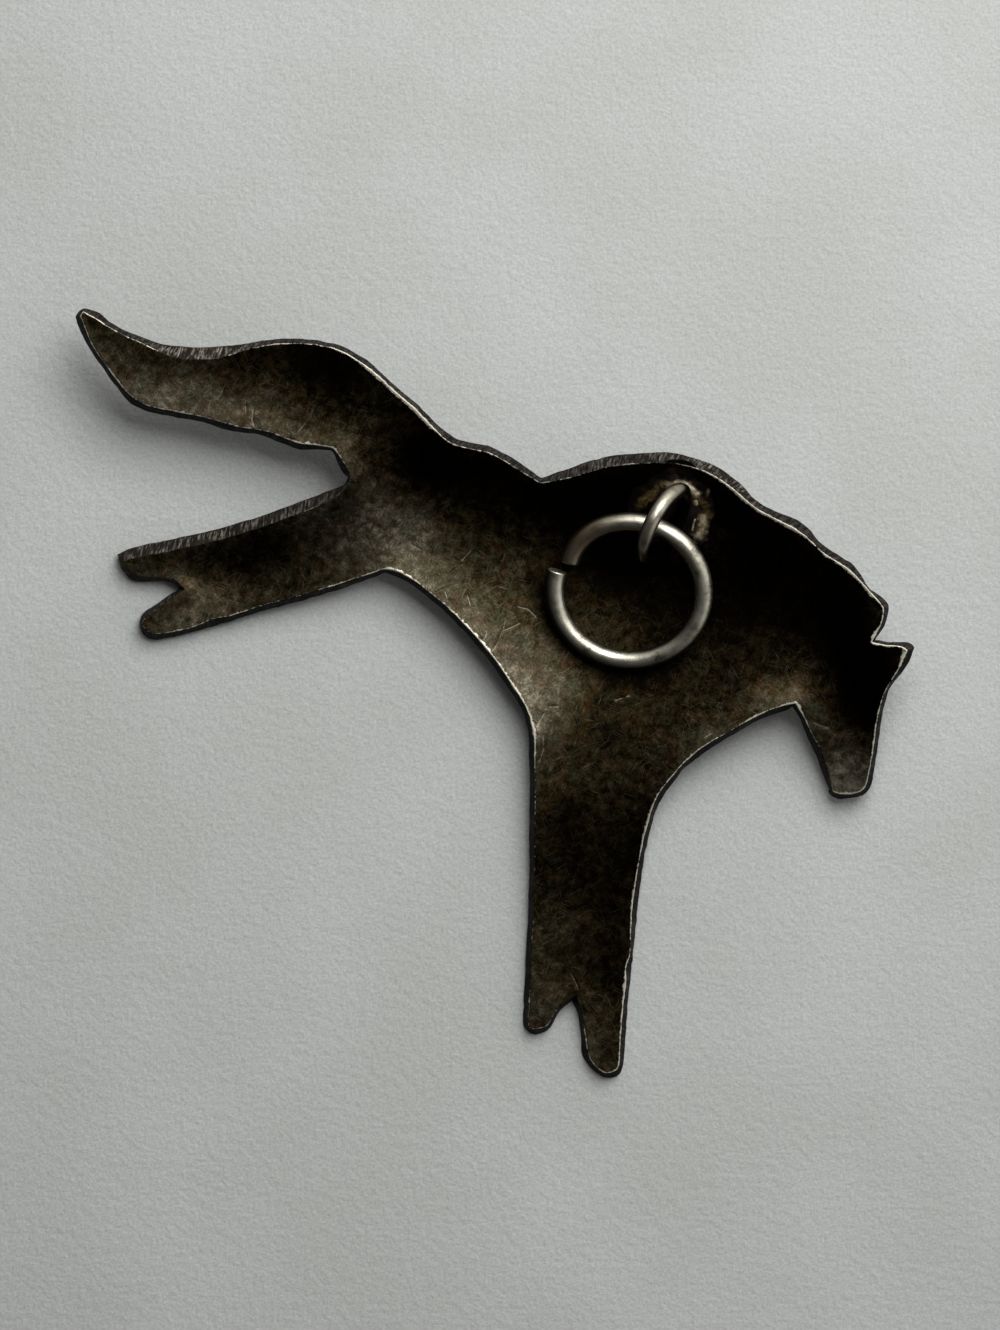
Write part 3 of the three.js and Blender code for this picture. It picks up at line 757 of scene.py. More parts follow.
# The few scratches and nicks that can be told apart in the photograph, each as a short path.
deep_scratches = [
    [(491, 653), (497, 644), (500, 637), (502, 631), (509, 628.5), (518, 624)],
    [(483, 642), (486.5, 633)], [(534, 736), (536, 728), (540, 720), (544, 714)],
    [(549, 707), (557, 707)], [(445, 592), (448, 601)], [(467, 594), (470, 604)],
    [(520, 607), (528, 609), (535, 615.5)], [(503, 631), (505, 622)],
    [(254, 411), (253, 420), (256, 430)], [(246, 404), (247, 413)],
    [(172, 577), (178, 580), (183, 586)], [(540, 760), (544, 748), (543, 738)],
    [(573, 978), (577, 986), (580, 994)], [(548, 1022), (552, 1029)], [(618, 700), (627, 697)],
    [(462, 560), (470, 551)], [(412, 545), (420, 549)], [(532, 752), (536, 762)],
    [(815, 723), (826, 727)], [(706, 737), (711, 734)], [(300, 431), (306, 424)],
    [(222, 395), (226, 386)],
]
HOLLOW_STEP = 0.17
DOMED_STEP = 0.26
OFF_RIM, OFF_SCRATCH = 0.08, 0.1
scratch_middles, scratch_sides = scratch_lines(deep_scratches, LEVEL)
laid = np.concatenate([scratch_middles, scratch_sides])
room_left = inside(laid, band[0, :, :2]) & (distance_to(laid, band[0, :, :2]) > OFF_RIM)
scratched = (np.arange(len(laid)) < len(scratch_middles))[room_left]
hollow_places, hollow_faces = filled(band[0, :, :2], HOLLOW_STEP, laid[room_left], OFF_SCRATCH)
domed_places, domed_faces = filled(band[-1, :, :2], DOMED_STEP)
hollow_edge = distance_to(hollow_places, band[0, ::3, :2])
domed_edge = distance_to(domed_places, band[-1, ::3, :2])
print("hollow", len(hollow_places), "points, domed", len(domed_places))

# %% [markdown]
# The hollow was sunk with a round-faced hammer and then rubbed, which leaves shallow uneven dents. The
# domed front isn't in the photograph. It is given the flat-faced hammer marks that such a front usually
# has, each one a shallow dish round the nearest of a set of scattered points.

# %% Hammer marks
BLOWS = 61
DISH_DEPTH, DISH_SIZE = 0.06, 2.0
SCRATCH_DEPTH = 0.014


def dishes(places, cell, seed):
    """Square of the distance to the nearest of a set of jittered lattice points, from 0 to about 1."""
    shift = np.random.default_rng(seed).uniform(0.1, 0.9, (BLOWS, BLOWS, 2))
    low = np.floor(places / cell).astype(int)
    best = np.full(len(places), 9.0)
    for dx in (-1, 0, 1):
        for dy in (-1, 0, 1):
            knot = low + (dx, dy)
            centre = knot + shift[knot[:, 0] % BLOWS, knot[:, 1] % BLOWS]
            best = np.minimum(best, ((places / cell - centre) ** 2).sum(1))
    return best


def hollow_relief(places, edge):
    """Dents of three sizes that fade towards the rim."""
    dents = 0.030 * lumps(places, 1.9, 31) + 0.016 * lumps(places, 0.9, 32)
    dents += 0.005 * lumps(places, 0.4, 33)
    return dents * smoothstep(0, 0.9, edge)


def domed_relief(places, edge):
    """Round hammer dishes with a finer unevenness, fading towards the rim."""
    blows = DISH_DEPTH * dishes(places, DISH_SIZE, 41) + 0.006 * lumps(places, 0.5, 42)
    return blows * smoothstep(0, 0.8, edge)


hollow_scratch = np.zeros(len(hollow_places))
hollow_scratch[: len(scratched)] = scratched
hollow_z = hollow_height(hollow_places) + hollow_relief(hollow_places, hollow_edge)
hollow_z -= SCRATCH_DEPTH * hollow_scratch
domed_z = domed_height(domed_places) + domed_relief(domed_places, domed_edge)
print("heights: hollow up to", hollow_z.max().round(2), "mm, domed down to", domed_z.min().round(2), "mm")

# %% [markdown]
# The hollow's tone is black patina with painted light and shade laid over it. Black stays where a finger
# or a cloth doesn't reach, and goes first from the parts that stand open. The wall on the upper right also
# hides the window, so its shade is painted in, and the far side, whose wall faces the window, is painted
# lighter. Two things set the tone: how steeply a place looks up to that wall, and how far across the
# hollow it lies from it towards the other one. Both are measured by walking over a map of the heights,
# cell by cell, until the walk leaves the sheet. A few lighter and darker patches that follow no rule are
# added, with a painted shadow of the jump ring below and to the left of it.

# %% Where the black and the painted shade stay
MAP_STEP = 0.2
MAP_REACH = 16.0
low = band[0, :, :2].min(0) - 1
map_x = np.arange(low[0], band[0, :, 0].max() + 1, MAP_STEP)
map_y = np.arange(low[1], band[0, :, 1].max() + 1, MAP_STEP)
map_places = np.stack(np.meshgrid(map_x, map_y, indexing="ij"), axis=-1).reshape(-1, 2)
map_shape = (len(map_x), len(map_y))
on_sheet = inside(map_places, inner_line[:, :2])
map_heights = hollow_height(map_places)


def cell_of(places):
    """Number of the map's cell nearest to each place."""
    cell = np.clip(np.rint((places - low) / MAP_STEP).astype(int), 0, np.array(map_shape) - 1)
    return cell[:, 0] * map_shape[1] + cell[:, 1]


def walk(towards):
    """From every cell in one direction: the steepest climb met, and the distance to the sheet's end."""
    steepest, gone, still_on = np.zeros(len(map_places)), np.zeros(len(map_places)), on_sheet.copy()
    for distance in np.arange(MAP_STEP, MAP_REACH, MAP_STEP):
        cell = cell_of(map_places + towards * distance)
        still_on &= on_sheet[cell]
        gone += MAP_STEP * still_on
        slope = (map_heights[cell] - map_heights) / distance
        steepest = np.where(still_on & (slope > steepest), slope, steepest)
    return steepest, gone


def spread(table, known, rounds):
    """Each cell becomes the mean of its known neighbours, round after round: values also grow outwards."""
    table, known = table.reshape(map_shape), known.reshape(map_shape).astype(float)
    ways = [(dx, dy) for dx in (-1, 0, 1) for dy in (-1, 0, 1)]
    for _ in range(rounds):
        total = sum(np.roll(table * known, way, axis=(0, 1)) for way in ways)
        count = sum(np.roll(known, way, axis=(0, 1)) for way in ways)
        table, known = total / np.maximum(count, 1), (count > 0).astype(float)
    return table


def read_map(table, places):
    """Value between the four nearest cells of a map."""
    q = (places - low) / MAP_STEP
    cell = np.floor(q).astype(int)
    return between_four(lambda dx, dy: table[cell[:, 0] + dx, cell[:, 1] + dy], q - cell)


def patches_at(places, patches):
    """Sum over the patches of amount * exp(-(distance / reach)^2), with place and reach in pixels."""
    patches = np.array(patches)
    middles = seen_at(patches[:, :2], LEVEL)
    away = np.linalg.norm(places[:, None] - middles[None], axis=2) * PIXELS_PER_MM
    return (patches[:, 3] * np.exp(-((away / patches[:, 2]) ** 2))).sum(1)


UP_THE_WALL = np.array([0.46, 0.89])
climb_up, gone_up = walk(UP_THE_WALL)
gone_down = walk(-UP_THE_WALL)[1]
share_across = gone_up / np.maximum(gone_up + gone_down, MAP_STEP)
# Lighter (above 0) and darker (below 0) places, as (x px, y px, reach px, amount).
lighter_darker_patches = [
    (400, 520, 55, 0.55), (315, 515, 45, 0.42), (480, 590, 45, 0.1), (530, 690, 55, 0.27),
    (520, 550, 35, 0.25), (205, 550, 40, 0.3), (200, 610, 40, 0.12), (250, 420, 60, 0.17),
    (165, 395, 40, 0.2), (120, 345, 30, 0.1), (230, 368, 25, -0.15), (320, 370, 40, -0.25),
    (400, 420, 40, 0.2), (425, 468, 32, -0.4), (800, 698, 35, 0.1), (855, 775, 40, 0.68),
    (845, 640, 30, -0.4), (870, 705, 32, -0.35), (570, 860, 70, -0.35), (600, 970, 35, -0.25),
    (605, 625, 35, 0.13), (600, 725, 40, -0.26), (625, 550, 30, -0.2), (740, 690, 35, -0.1),
    (700, 640, 30, 0.1), (820, 723, 8, 0.28), (575, 800, 35, -0.1),
]
# Painted shade under the upper right wall, which hides the window, and painted light on the far side, whose
# wall faces it, over the patina's own black.
MIDDLE_TONE, OPEN_AND_LIT_SIDE, SHELTERED_AND_SHADED = 0.45, 0.17, 0.31
tone = MIDDLE_TONE + OPEN_AND_LIT_SIDE * smoothstep(0.05, 1.0, share_across)
tone -= SHELTERED_AND_SHADED * smoothstep(0.05, 0.45, climb_up)
stained_by_flux = [(712, 535, 20, 0.2), (668, 557, 10, 0.2), (655, 578, 9, 0.15)]
# Painted shadow of the jump ring, below and to the left of it on the hollow.
painted_ring_shadow = [
    (545, 590, 11, -0.3), (551, 618, 11, -0.3), (565, 643, 11, -0.35), (587, 662, 11, -0.35),
    (612, 674, 11, -0.3), (640, 679, 11, -0.25), (668, 672, 10, -0.15),
]
by_hand = lighter_darker_patches + stained_by_flux + painted_ring_shadow
tone += patches_at(map_places, by_hand) + 0.03 * lumps(map_places, 1.1, 72)
patina_and_shade_map = spread(np.clip(tone, -0.2, 1.1), on_sheet, 3)
beside_rim = [
    (395, 583, 9, 0.25), (425, 602, 9, 0.25), (455, 624, 9, 0.3), (480, 648, 9, 0.3),
    (503, 675, 9, 0.3), (522, 702, 9, 0.3), (535, 728, 9, 0.35), (790, 712, 8, 0.25),
    (375, 580, 9, 0.2), (345, 442, 8, 0.15),
]
hollow_patina_and_shade = read_map(patina_and_shade_map, hollow_places) + patches_at(hollow_places, beside_rim)
print("climb up to", climb_up.max().round(2), "tone up to", patina_and_shade_map.max().round(2))

# %% [markdown]
# The band and the two filled faces become one closed mesh. Each corner also carries the numbers that
# its finish reads: how soon it wears, how far along and across the edge it lies, the tone of the hollow
# there with its painted light and shade, and how far the edge faces the window, for the edge's painted
# light and shade.

# %% Sheet as one mesh
band_count = band.shape[0] * band.shape[1]
last_row = band_count - band.shape[1]
corners = np.concatenate([
    band.reshape(-1, 3),
    np.column_stack([hollow_places, hollow_z]),
    np.column_stack([domed_places, domed_z]),
])


def numbered(faces, row_start, face_start):
    """Renumbers a filled face: its first points are a row of the band, and the others follow the band."""
    n = band.shape[1]
    return np.where(faces < n, faces + row_start, faces - n + face_start)


top = numbered(hollow_faces, 0, band_count)
bottom = numbered(domed_faces, last_row, band_count + len(hollow_places))[:, ::-1]
faces = grid_faces(*band.shape[:2]).tolist() + top.tolist() + bottom.tolist()


def per_row(values, hollow, domed):
    """One number for each row of the band, and then the numbers of the two filled faces."""
    return np.concatenate([np.repeat(values, band.shape[1]), hollow, domed])


no_hollow, no_domed = np.zeros(len(hollow_places)), np.zeros(len(domed_places))
band_patina_and_shade = np.tile(read_map(patina_and_shade_map, band[0, :, :2] - outward * 0.1), band.shape[0])
# Painted light and shade on the sawn edge: 1 where it faces the window, upper right, 0 where it faces away.
edge_facing_window = np.tile(smoothstep(-0.2, 0.75, outward @ (0.25, 0.97)), band.shape[0])
marks = {
    "wear": np.concatenate([wear.ravel(), no_hollow - 1, no_domed - 1]),
    "filed": np.concatenate([np.tile(filed, band.shape[0]), no_hollow, no_domed]),
    "edge": per_row(row_edge, no_hollow, no_domed),
    "across": per_row(crossing, no_hollow, no_domed + 1),
    "run": np.concatenate([np.tile(run, band.shape[0]), no_hollow, no_domed]),
    "front": per_row(smoothstep(0.85, 1, crossing), no_hollow, no_domed + 1),
    "tone": np.concatenate([band_patina_and_shade, hollow_patina_and_shade, no_domed]),
    "open": np.concatenate([edge_facing_window, no_hollow, no_domed]),
    "scratch": per_row(np.zeros(band.shape[0]), hollow_scratch, no_domed),
    "dome": per_row(np.zeros(band.shape[0]), no_hollow, smoothstep(0.5, 3.2, domed_edge)),
}
horse = add_mesh("horse_dressed", corners, faces, marks)
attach(horse, "horse")
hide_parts("horse_sheet")
triangle_count = sum(len(p.vertices) - 2 for p in horse.data.polygons)
print("horse", len(corners), "corners,", triangle_count, "triangles")

# %% [markdown]
# The finish of the sheet is a brown-black patina over silver, with painted light and shade. It is
# darkest where the hollow is sheltered and shaded by its upper right wall, and rubbed to a grey brown,
# painted lighter, where it is open and faces the window. The tone of each corner picks a colour from a
# ramp, after clouds and short strokes have pushed it up and down. Stains shift it towards brown or
# green, and fine scratches run all ways. The inner corner of the rim is worn to bright metal, and the
# sawn edge is grey with strokes across it, painted lighter where it faces the window and near black
# where it faces away. The front is hammered silver, dark towards its rim.

# %% Patina
patina, tree, shader = new_finish("patina")
place = in_mm(tree)
patches = cloud(tree, place, 2.2, detail=6, roughness=0.62)
mottle = cloud(tree, place, 0.5, detail=6, roughness=0.68)
grain = cloud(tree, place, 0.1, detail=3)
bend = put(tree, "TexNoise", {"Vector": place, "Scale": 1.6, "Detail": 2.0}, out=1)
bend = put(tree, "VectorMath", {0: bend, 1: (0.5, 0.5, 0.5)}, operation="SUBTRACT")
bend = put(tree, "VectorMath", {0: bend, 3: 0.3}, operation="SCALE")
bent = put(tree, "VectorMath", {0: place, 1: bend}, operation="ADD")
lines = hairs(tree, bent, 0.5, 0.9, 0.03, 0.08)
for angle, length, share in ((1.2, 0.6, 0.1), (2.0, 1.0, 0.08), (2.75, 0.6, 0.08)):
    lines = calc(tree, "MAXIMUM", lines, hairs(tree, bent, angle, length, 0.028, share))


def streaks(angle):
    """Random short strokes at an angle: a cloud that is drawn out to four times its width."""
    turned = put(tree, "Mapping", {"Vector": bent, "Rotation": (0, 0, -angle)}, vector_type="POINT")
    drawn = put(tree, "VectorMath", {0: turned, 1: (2.6, 11.0, 6.0)}, operation="MULTIPLY")
    return cloud(tree, drawn, 1.0, roughness=0.6)


which = between(tree, cloud(tree, place, 1.3, detail=2), 0.42, 0.58)
rubbing = put(tree, "Mix", {0: which, 2: streaks(1.15), 3: streaks(2.3)}, data_type="FLOAT")
which = between(tree, cloud(tree, place, 0.8, detail=2), 0.5, 0.62)
rubbing = put(tree, "Mix", {0: which, 2: rubbing, 3: streaks(0.3)}, data_type="FLOAT")

tone = mark(tree, "tone")
uneven = calc(tree, "ADD", swing(tree, mottle, 1.2), swing(tree, patches, 0.42))
uneven = calc(tree, "ADD", uneven, swing(tree, grain, 0.4))
uneven = calc(tree, "ADD", uneven, swing(tree, rubbing, 0.5))
uneven = calc(tree, "ADD", uneven, swing(tree, between(tree, rubbing, 0.5, 0.68), 0.07))
tone_here = calc(tree, "ADD", tone, calc(tree, "MULTIPLY", uneven, between(tree, tone, -0.1, 0.5)))
tone_here = calc(tree, "MULTIPLY", tone_here, 0.8, clamp=True)
hollow_colour = ramp(tree, tone_here, [
    (0.0, (0.0007, 0.0006, 0.0006)), (1.0, (0.3, 0.27, 0.21)), (0.176, (0.0044, 0.0029, 0.0014)),
    (0.36, (0.0202, 0.0149, 0.0072)), (0.56, (0.052, 0.0432, 0.0285)), (0.68, (0.098, 0.084, 0.06)),
    (0.8, (0.18, 0.16, 0.122)),
])
stain = cloud(tree, place, 0.9, detail=5, roughness=0.7)
hue = ramp(tree, stain, [
    (0.3, (1.3, 0.86, 0.55)), (0.7, (0.8, 1.0, 0.88)), (0.41, (1.1, 0.96, 0.8)), (0.54, (0.93, 1.0, 0.9)),
])
hue = blend(tree, calc(tree, "MULTIPLY", between(tree, tone, 0.45, 0.9), 0.7), hue, (1.0, 1.0, 1.0))
hollow_colour = tinted(tree, hollow_colour, hue)
hair_share = calc(tree, "MULTIPLY", lines, between(tree, tone, 0.05, 0.6))
hollow_colour = blend(tree, calc(tree, "MULTIPLY", hair_share, 0.26), hollow_colour, (0.2, 0.18, 0.14))
scratch_share = calc(tree, "MULTIPLY", mark(tree, "scratch"), between(tree, mottle, 0.35, 0.6))
hollow_colour = blend(tree, calc(tree, "MULTIPLY", scratch_share, 0.6), hollow_colour, (0.36, 0.33, 0.27))

slanted = calc(tree, "ADD", mark(tree, "run"), calc(tree, "MULTIPLY", mark(tree, "across"), 0.2))
stroke_place = put(tree, "CombineXYZ", {0: calc(tree, "MULTIPLY", slanted, 7.5),
                                        1: calc(tree, "MULTIPLY", mark(tree, "across"), 1.2)})
strokes_seen = cloud(tree, stroke_place, 1.0, detail=4.0, roughness=0.65)
# The sawn edge's painted light and shade: lighter where it faces the window, near black where it faces
# away.
cut_lit_side = between(tree, strokes_seen, 0.36, 0.7)
cut_lit_side = blend(tree, cut_lit_side, (0.005, 0.0043, 0.0038), (0.05, 0.042, 0.037))
smudged = calc(tree, "ADD", strokes_seen, swing(tree, cloud(tree, place, 1.2, detail=4), 0.9))
cut_shaded_side = blend(tree, between(tree, smudged, 0.45, 0.85), (0.0014, 0.0012, 0.001), (0.03, 0.0265, 0.022))
cut = blend(tree, mark(tree, "open"), cut_shaded_side, cut_lit_side)
filed_share = calc(tree, "ADD", strokes_seen, swing(tree, cloud(tree, place, 0.9, detail=4), 0.5))
cut_filed = between(tree, filed_share, 0.47, 0.76)
cut_filed = blend(tree, cut_filed, (0.018, 0.0135, 0.0105), (0.42, 0.39, 0.32))
cut = blend(tree, mark(tree, "filed"), cut, cut_filed)
with_edge = blend(tree, mark(tree, "edge"), hollow_colour, cut)

front_mix = between(tree, patches, 0.35, 0.7)
front_colour = blend(tree, front_mix, (0.2, 0.185, 0.165), (0.42, 0.4, 0.37))
dome_rubbed = between(tree, calc(tree, "ADD", mark(tree, "dome"), swing(tree, patches, 0.8)), 0.2, 0.75)
front_colour = blend(tree, dome_rubbed, (0.02, 0.016, 0.013), front_colour)
with_front = blend(tree, mark(tree, "front"), with_edge, front_colour)
breaks = calc(tree, "ADD", swing(tree, cloud(tree, place, 1.6, detail=3), 1.1),
              swing(tree, cloud(tree, place, 0.2, detail=4, roughness=0.7), 1.7))
worn = between(tree, calc(tree, "ADD", mark(tree, "wear"), breaks), 0.08, 0.5)
colour = blend(tree, worn, with_front, blend(tree, mottle, (0.27, 0.24, 0.175), (0.88, 0.84, 0.7)))
tree.links.new(colour, shader.inputs["Base Color"])
not_cut = calc(tree, "SUBTRACT", 1.0, mark(tree, "edge"), clamp=True)
metal = calc(tree, "MAXIMUM", not_cut, mark(tree, "front"))
metal = put(tree, "Mix", {0: worn, 2: metal, 3: 0.45}, data_type="FLOAT")
tree.links.new(metal, shader.inputs["Metallic"])
shader.inputs["Specular IOR Level"].default_value = 0.03
dull = put(tree, "MapRange", {
    "Value": mottle, "From Min": 0.3, "From Max": 0.7, "To Min": 0.44, "To Max": 0.6,
})
rough = put(tree, "Mix", {0: worn, 2: dull, 3: 0.34}, data_type="FLOAT")
tree.links.new(rough, shader.inputs["Roughness"])
relief = calc(tree, "ADD", calc(tree, "MULTIPLY", grain, 0.5), calc(tree, "MULTIPLY", lines, -0.2))
relief = calc(tree, "ADD", relief, calc(tree, "MULTIPLY", mottle, 0.9))
relief = calc(tree, "ADD", relief, calc(tree, "MULTIPLY", mark(tree, "edge"), strokes_seen))
tree.links.new(bump(tree, relief, 0.014), shader.inputs["Normal"])
horse.data.materials.append(patina)
print("patina made of", len(tree.nodes), "nodes")

# %% [markdown]
# The bail and the jump ring are round wire. Wire is a circle carried along a line: at each step along
# the line the circle is set square to it, and the circles are joined into a tube. The lines are
# measured from the solids. The middle of a closed ring is the mean of its corners, and the flattest
# direction through a ring's corners, from a singular value decomposition, is the axis of its plane.

# %% Wire helpers
def plane_of(corners):
    """Middle of a set of corners, and the unit axis in which they spread least, pointing up."""
    middle = corners.mean(0)
    axis = np.linalg.svd(corners - middle, full_matrices=False)[2][2]
    return middle, axis * (1 if axis[2] > 0 else -1)


TURNED_AWAY = math.radians(70)


def worn_and_lit_side(tube_corners, line, facing):
    """1 where the wire faces the given way, and 0 where it is turned 70 degrees or more from it."""
    out = tube_corners - line[:, None]
    return smoothstep(math.cos(TURNED_AWAY), 1.0, unit(out) @ unit(np.array(facing))).ravel()


def tube(line, radius, sides, axis, closed):
    """Corners of a tube: line + radius (cos a * side + sin a * axis), side square to the line and axis."""
    ahead = np.roll(line, -1, axis=0) - np.roll(line, 1, axis=0)
    if not closed:
        ahead[0], ahead[-1] = line[1] - line[0], line[-1] - line[-2]
    side = unit(np.cross(ahead, axis))
    turn = 2 * np.pi * np.arange(sides) / sides
    circle = np.cos(turn)[None, :, None] * side[:, None] + np.sin(turn)[None, :, None] * axis
    return line[:, None] + np.asarray(radius).reshape(-1, 1, 1) * circle


# %% [markdown]
# The bail is a small closed ring of 0.8 mm wire that stands on edge. Its foot is buried in the solder.

# %% Bail
bail_corners, _ = solid_of("bail_loop")
bail_middle, bail_axis = plane_of(bail_corners)
spokes = bail_corners - bail_middle
across_plane = spokes @ bail_axis
in_plane = np.linalg.norm(spokes - across_plane[:, None] * bail_axis, axis=1)
BAIL_WIRE = 2 * np.abs(across_plane).max()
BAIL_RADIUS = (in_plane.max() + in_plane.min()) / 2
bail_up = unit(np.array([0, 0, 1.0]) - bail_axis[2] * bail_axis)
bail_side = np.cross(bail_up, bail_axis)
BAIL_STEPS, BAIL_SIDES = 180, 28
turn = 2 * np.pi * np.arange(BAIL_STEPS) / BAIL_STEPS
bail_line = bail_middle + BAIL_RADIUS * (
    np.cos(turn)[:, None] * bail_side + np.sin(turn)[:, None] * bail_up
)
bail_run = np.repeat(turn * BAIL_RADIUS, BAIL_SIDES)
bail_round = np.tile(np.arange(BAIL_SIDES) / BAIL_SIDES, BAIL_STEPS)
WOBBLE = 0.008
wobble = WOBBLE * lumps(np.column_stack([bail_run, bail_round * 2]), 0.9, 51)
# The ring has worn a shallow groove where it hangs.
radius = BAIL_WIRE / 2 - WOBBLE - bumps_at(bail_line, [(641, 556, 0.6, 0.12)])
bail_tube = tube(bail_line, radius, BAIL_SIDES, bail_axis, True)
# Worn and painted-lit side of the bail: its top, leaning towards the window.
bail_worn_and_lit = worn_and_lit_side(bail_tube, bail_line, (0.2, 0.2, 1.0))
bail_tube = bail_tube.reshape(-1, 3)
centres = np.repeat(bail_line, BAIL_SIDES, axis=0)
bail_tube += (bail_tube - centres) / (BAIL_WIRE / 2) * wobble[:, None]
bail_faces = grid_faces(BAIL_STEPS, BAIL_SIDES, wrap_rows=True)
up_share = (bail_tube - bail_middle) @ bail_up / BAIL_RADIUS
bail = add_mesh("bail_dressed", bail_tube, bail_faces.tolist(), {
    "run": bail_run, "round": bail_round, "up": up_share, "rubbed": bail_worn_and_lit,
})
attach(bail, "horse")
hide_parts("bail_loop")
print("bail wire", round(BAIL_WIRE, 3), "mm, radius", round(BAIL_RADIUS, 3), "at", bail_middle.round(2))

# %% [markdown]
# The jump ring is an oval of thicker wire, cut once. One end has sprung inwards. Its plane is measured
# from the solid, and the oval is drawn in that plane from where the hinge passes through the wire.

# %% Jump ring
RING_WIRE = 1.02
UPPER_CUT, LOWER_CUT = 0.34, 0.5
RING_LONG, RING_SHORT = 7.85, 7.4
HANG_ANGLE = math.radians(59)
SPLIT_ANGLE = math.radians(157)
SPRING, SPRING_REACH = 0.4, math.radians(50)
hinge = frame["joints"][0]
hinge_at = np.array(hinge["pos_m"]) / MM
hinge_axis = np.array(hinge["axis"])
_, ring_axis = plane_of(solid_of("jump_ring")[0])
lie = math.atan2(np.cross([0, 0, 1], ring_axis) @ hinge_axis, ring_axis[2])


def turned(vectors, axis, angle):
    """Rodrigues' rule: v cos a + (axis x v) sin a + axis (axis . v)(1 - cos a)."""
    side = np.cross(axis, vectors)
    along_axis = np.outer(vectors @ axis, axis)
    return vectors * math.cos(angle) + side * math.sin(angle) + along_axis * (1 - math.cos(angle))


RING_STEPS, RING_SIDES = 260, 30
first_turn = SPLIT_ANGLE + LOWER_CUT / (RING_LONG / 2)
last_turn = SPLIT_ANGLE + 2 * np.pi - UPPER_CUT / (RING_LONG / 2)
ring_turn = np.linspace(first_turn, last_turn, RING_STEPS)
past = (last_turn - ring_turn) / SPRING_REACH
spring = np.where(past < 1, SPRING * (1 - past) ** 2, 0)
oval = np.column_stack([
    RING_LONG / 2 * np.cos(ring_turn), RING_SHORT / 2 * np.sin(ring_turn), 0 * ring_turn,
])
oval *= 1 - (spring / np.linalg.norm(oval, axis=1))[:, None]
hang = np.array([RING_LONG / 2 * math.cos(HANG_ANGLE), RING_SHORT / 2 * math.sin(HANG_ANGLE), 0])
ring_line = hinge_at + turned(oval - hang, hinge_axis, lie)
ring_run = np.cumsum(np.linalg.norm(np.diff(ring_line, axis=0, prepend=ring_line[:1]), axis=1))
ring_tube = tube(ring_line, RING_WIRE / 2, RING_SIDES, ring_axis, False)

# %% [markdown]
# The two cut ends are flat faces with a small rounding: three ever smaller circles close each end.

# %% Ring ends and mesh
END_ROUND = 0.07


def end_cap(circle, centre, outwards):
    """Circles that round a cut end: they shrink and move outwards along a quarter turn, and then close."""
    bow = np.radians([30, 60, 90])[:, None, None]
    shrink = 1 - END_ROUND * (1 - np.cos(bow)) / (RING_WIRE / 2)
    rounds = centre + (circle - centre)[None] * shrink + outwards * (END_ROUND * np.sin(bow))
    closing = np.array([0.7, 0.35, 0.02])[:, None, None]
    inner = centre + (rounds[-1] - centre)[None] * closing + outwards * END_ROUND * (1 - closing)
    return np.concatenate([rounds, inner])


first_cap = end_cap(ring_tube[0], ring_line[0], unit(ring_line[0] - ring_line[1]))[::-1]
last_cap = end_cap(ring_tube[-1], ring_line[-1], unit(ring_line[-1] - ring_line[-2]))
ring_all = np.concatenate([first_cap, ring_tube, last_cap])
ring_count = len(ring_all)
ring_corners = ring_all.reshape(-1, 3)
ring_faces = grid_faces(ring_count, RING_SIDES).tolist()
last_circle = range(len(ring_corners) - RING_SIDES, len(ring_corners))
ring_faces += [list(range(RING_SIDES)), list(last_circle)[::-1]]
cap_rows = len(first_cap)
ring_run_all = np.concatenate([np.zeros(cap_rows), ring_run, np.full(cap_rows, ring_run[-1])])
ring_cut = np.concatenate([np.ones(cap_rows), np.zeros(RING_STEPS), np.zeros(cap_rows)])
ring_brown = smoothstep(5.2, 1.4, ring_run[-1] - ring_run_all)
# Worn and painted-lit sides of the ring: above, leaning towards the window, and below.
ring_worn_and_lit = np.maximum(
    worn_and_lit_side(ring_tube, ring_line, ring_axis + (0.42, 0.42, 0.0)),
    worn_and_lit_side(ring_tube, ring_line, -ring_axis + (0.2, 0.2, 0.0)),
)
end_rubbed = np.ones(cap_rows * RING_SIDES)
ring = add_mesh("ring_dressed", ring_corners, ring_faces, {
    "run": np.repeat(ring_run_all, RING_SIDES),
    "round": np.tile(np.arange(RING_SIDES) / RING_SIDES, ring_count),
    "cut": np.repeat(ring_cut, RING_SIDES),
    "brown": np.repeat(ring_brown, RING_SIDES),
    "rubbed": np.concatenate([end_rubbed, ring_worn_and_lit, end_rubbed]),
})
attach(ring, "ring")
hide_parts("jump_ring")
print("ring lies at", round(math.degrees(lie), 1), "degrees,", len(ring_corners), "corners")

# %% [markdown]
# Silver wire that has been worn is satin, slightly yellow, with fine lines along it and thin tarnish.
# The ring turns over in the bail, so it is rubbed above and below, and keeps its tarnish at the side.
# The rubbed sides of both wires lean towards the window, so their brightness is partly painted light,
# and the tarnish at the sides is partly painted shade.

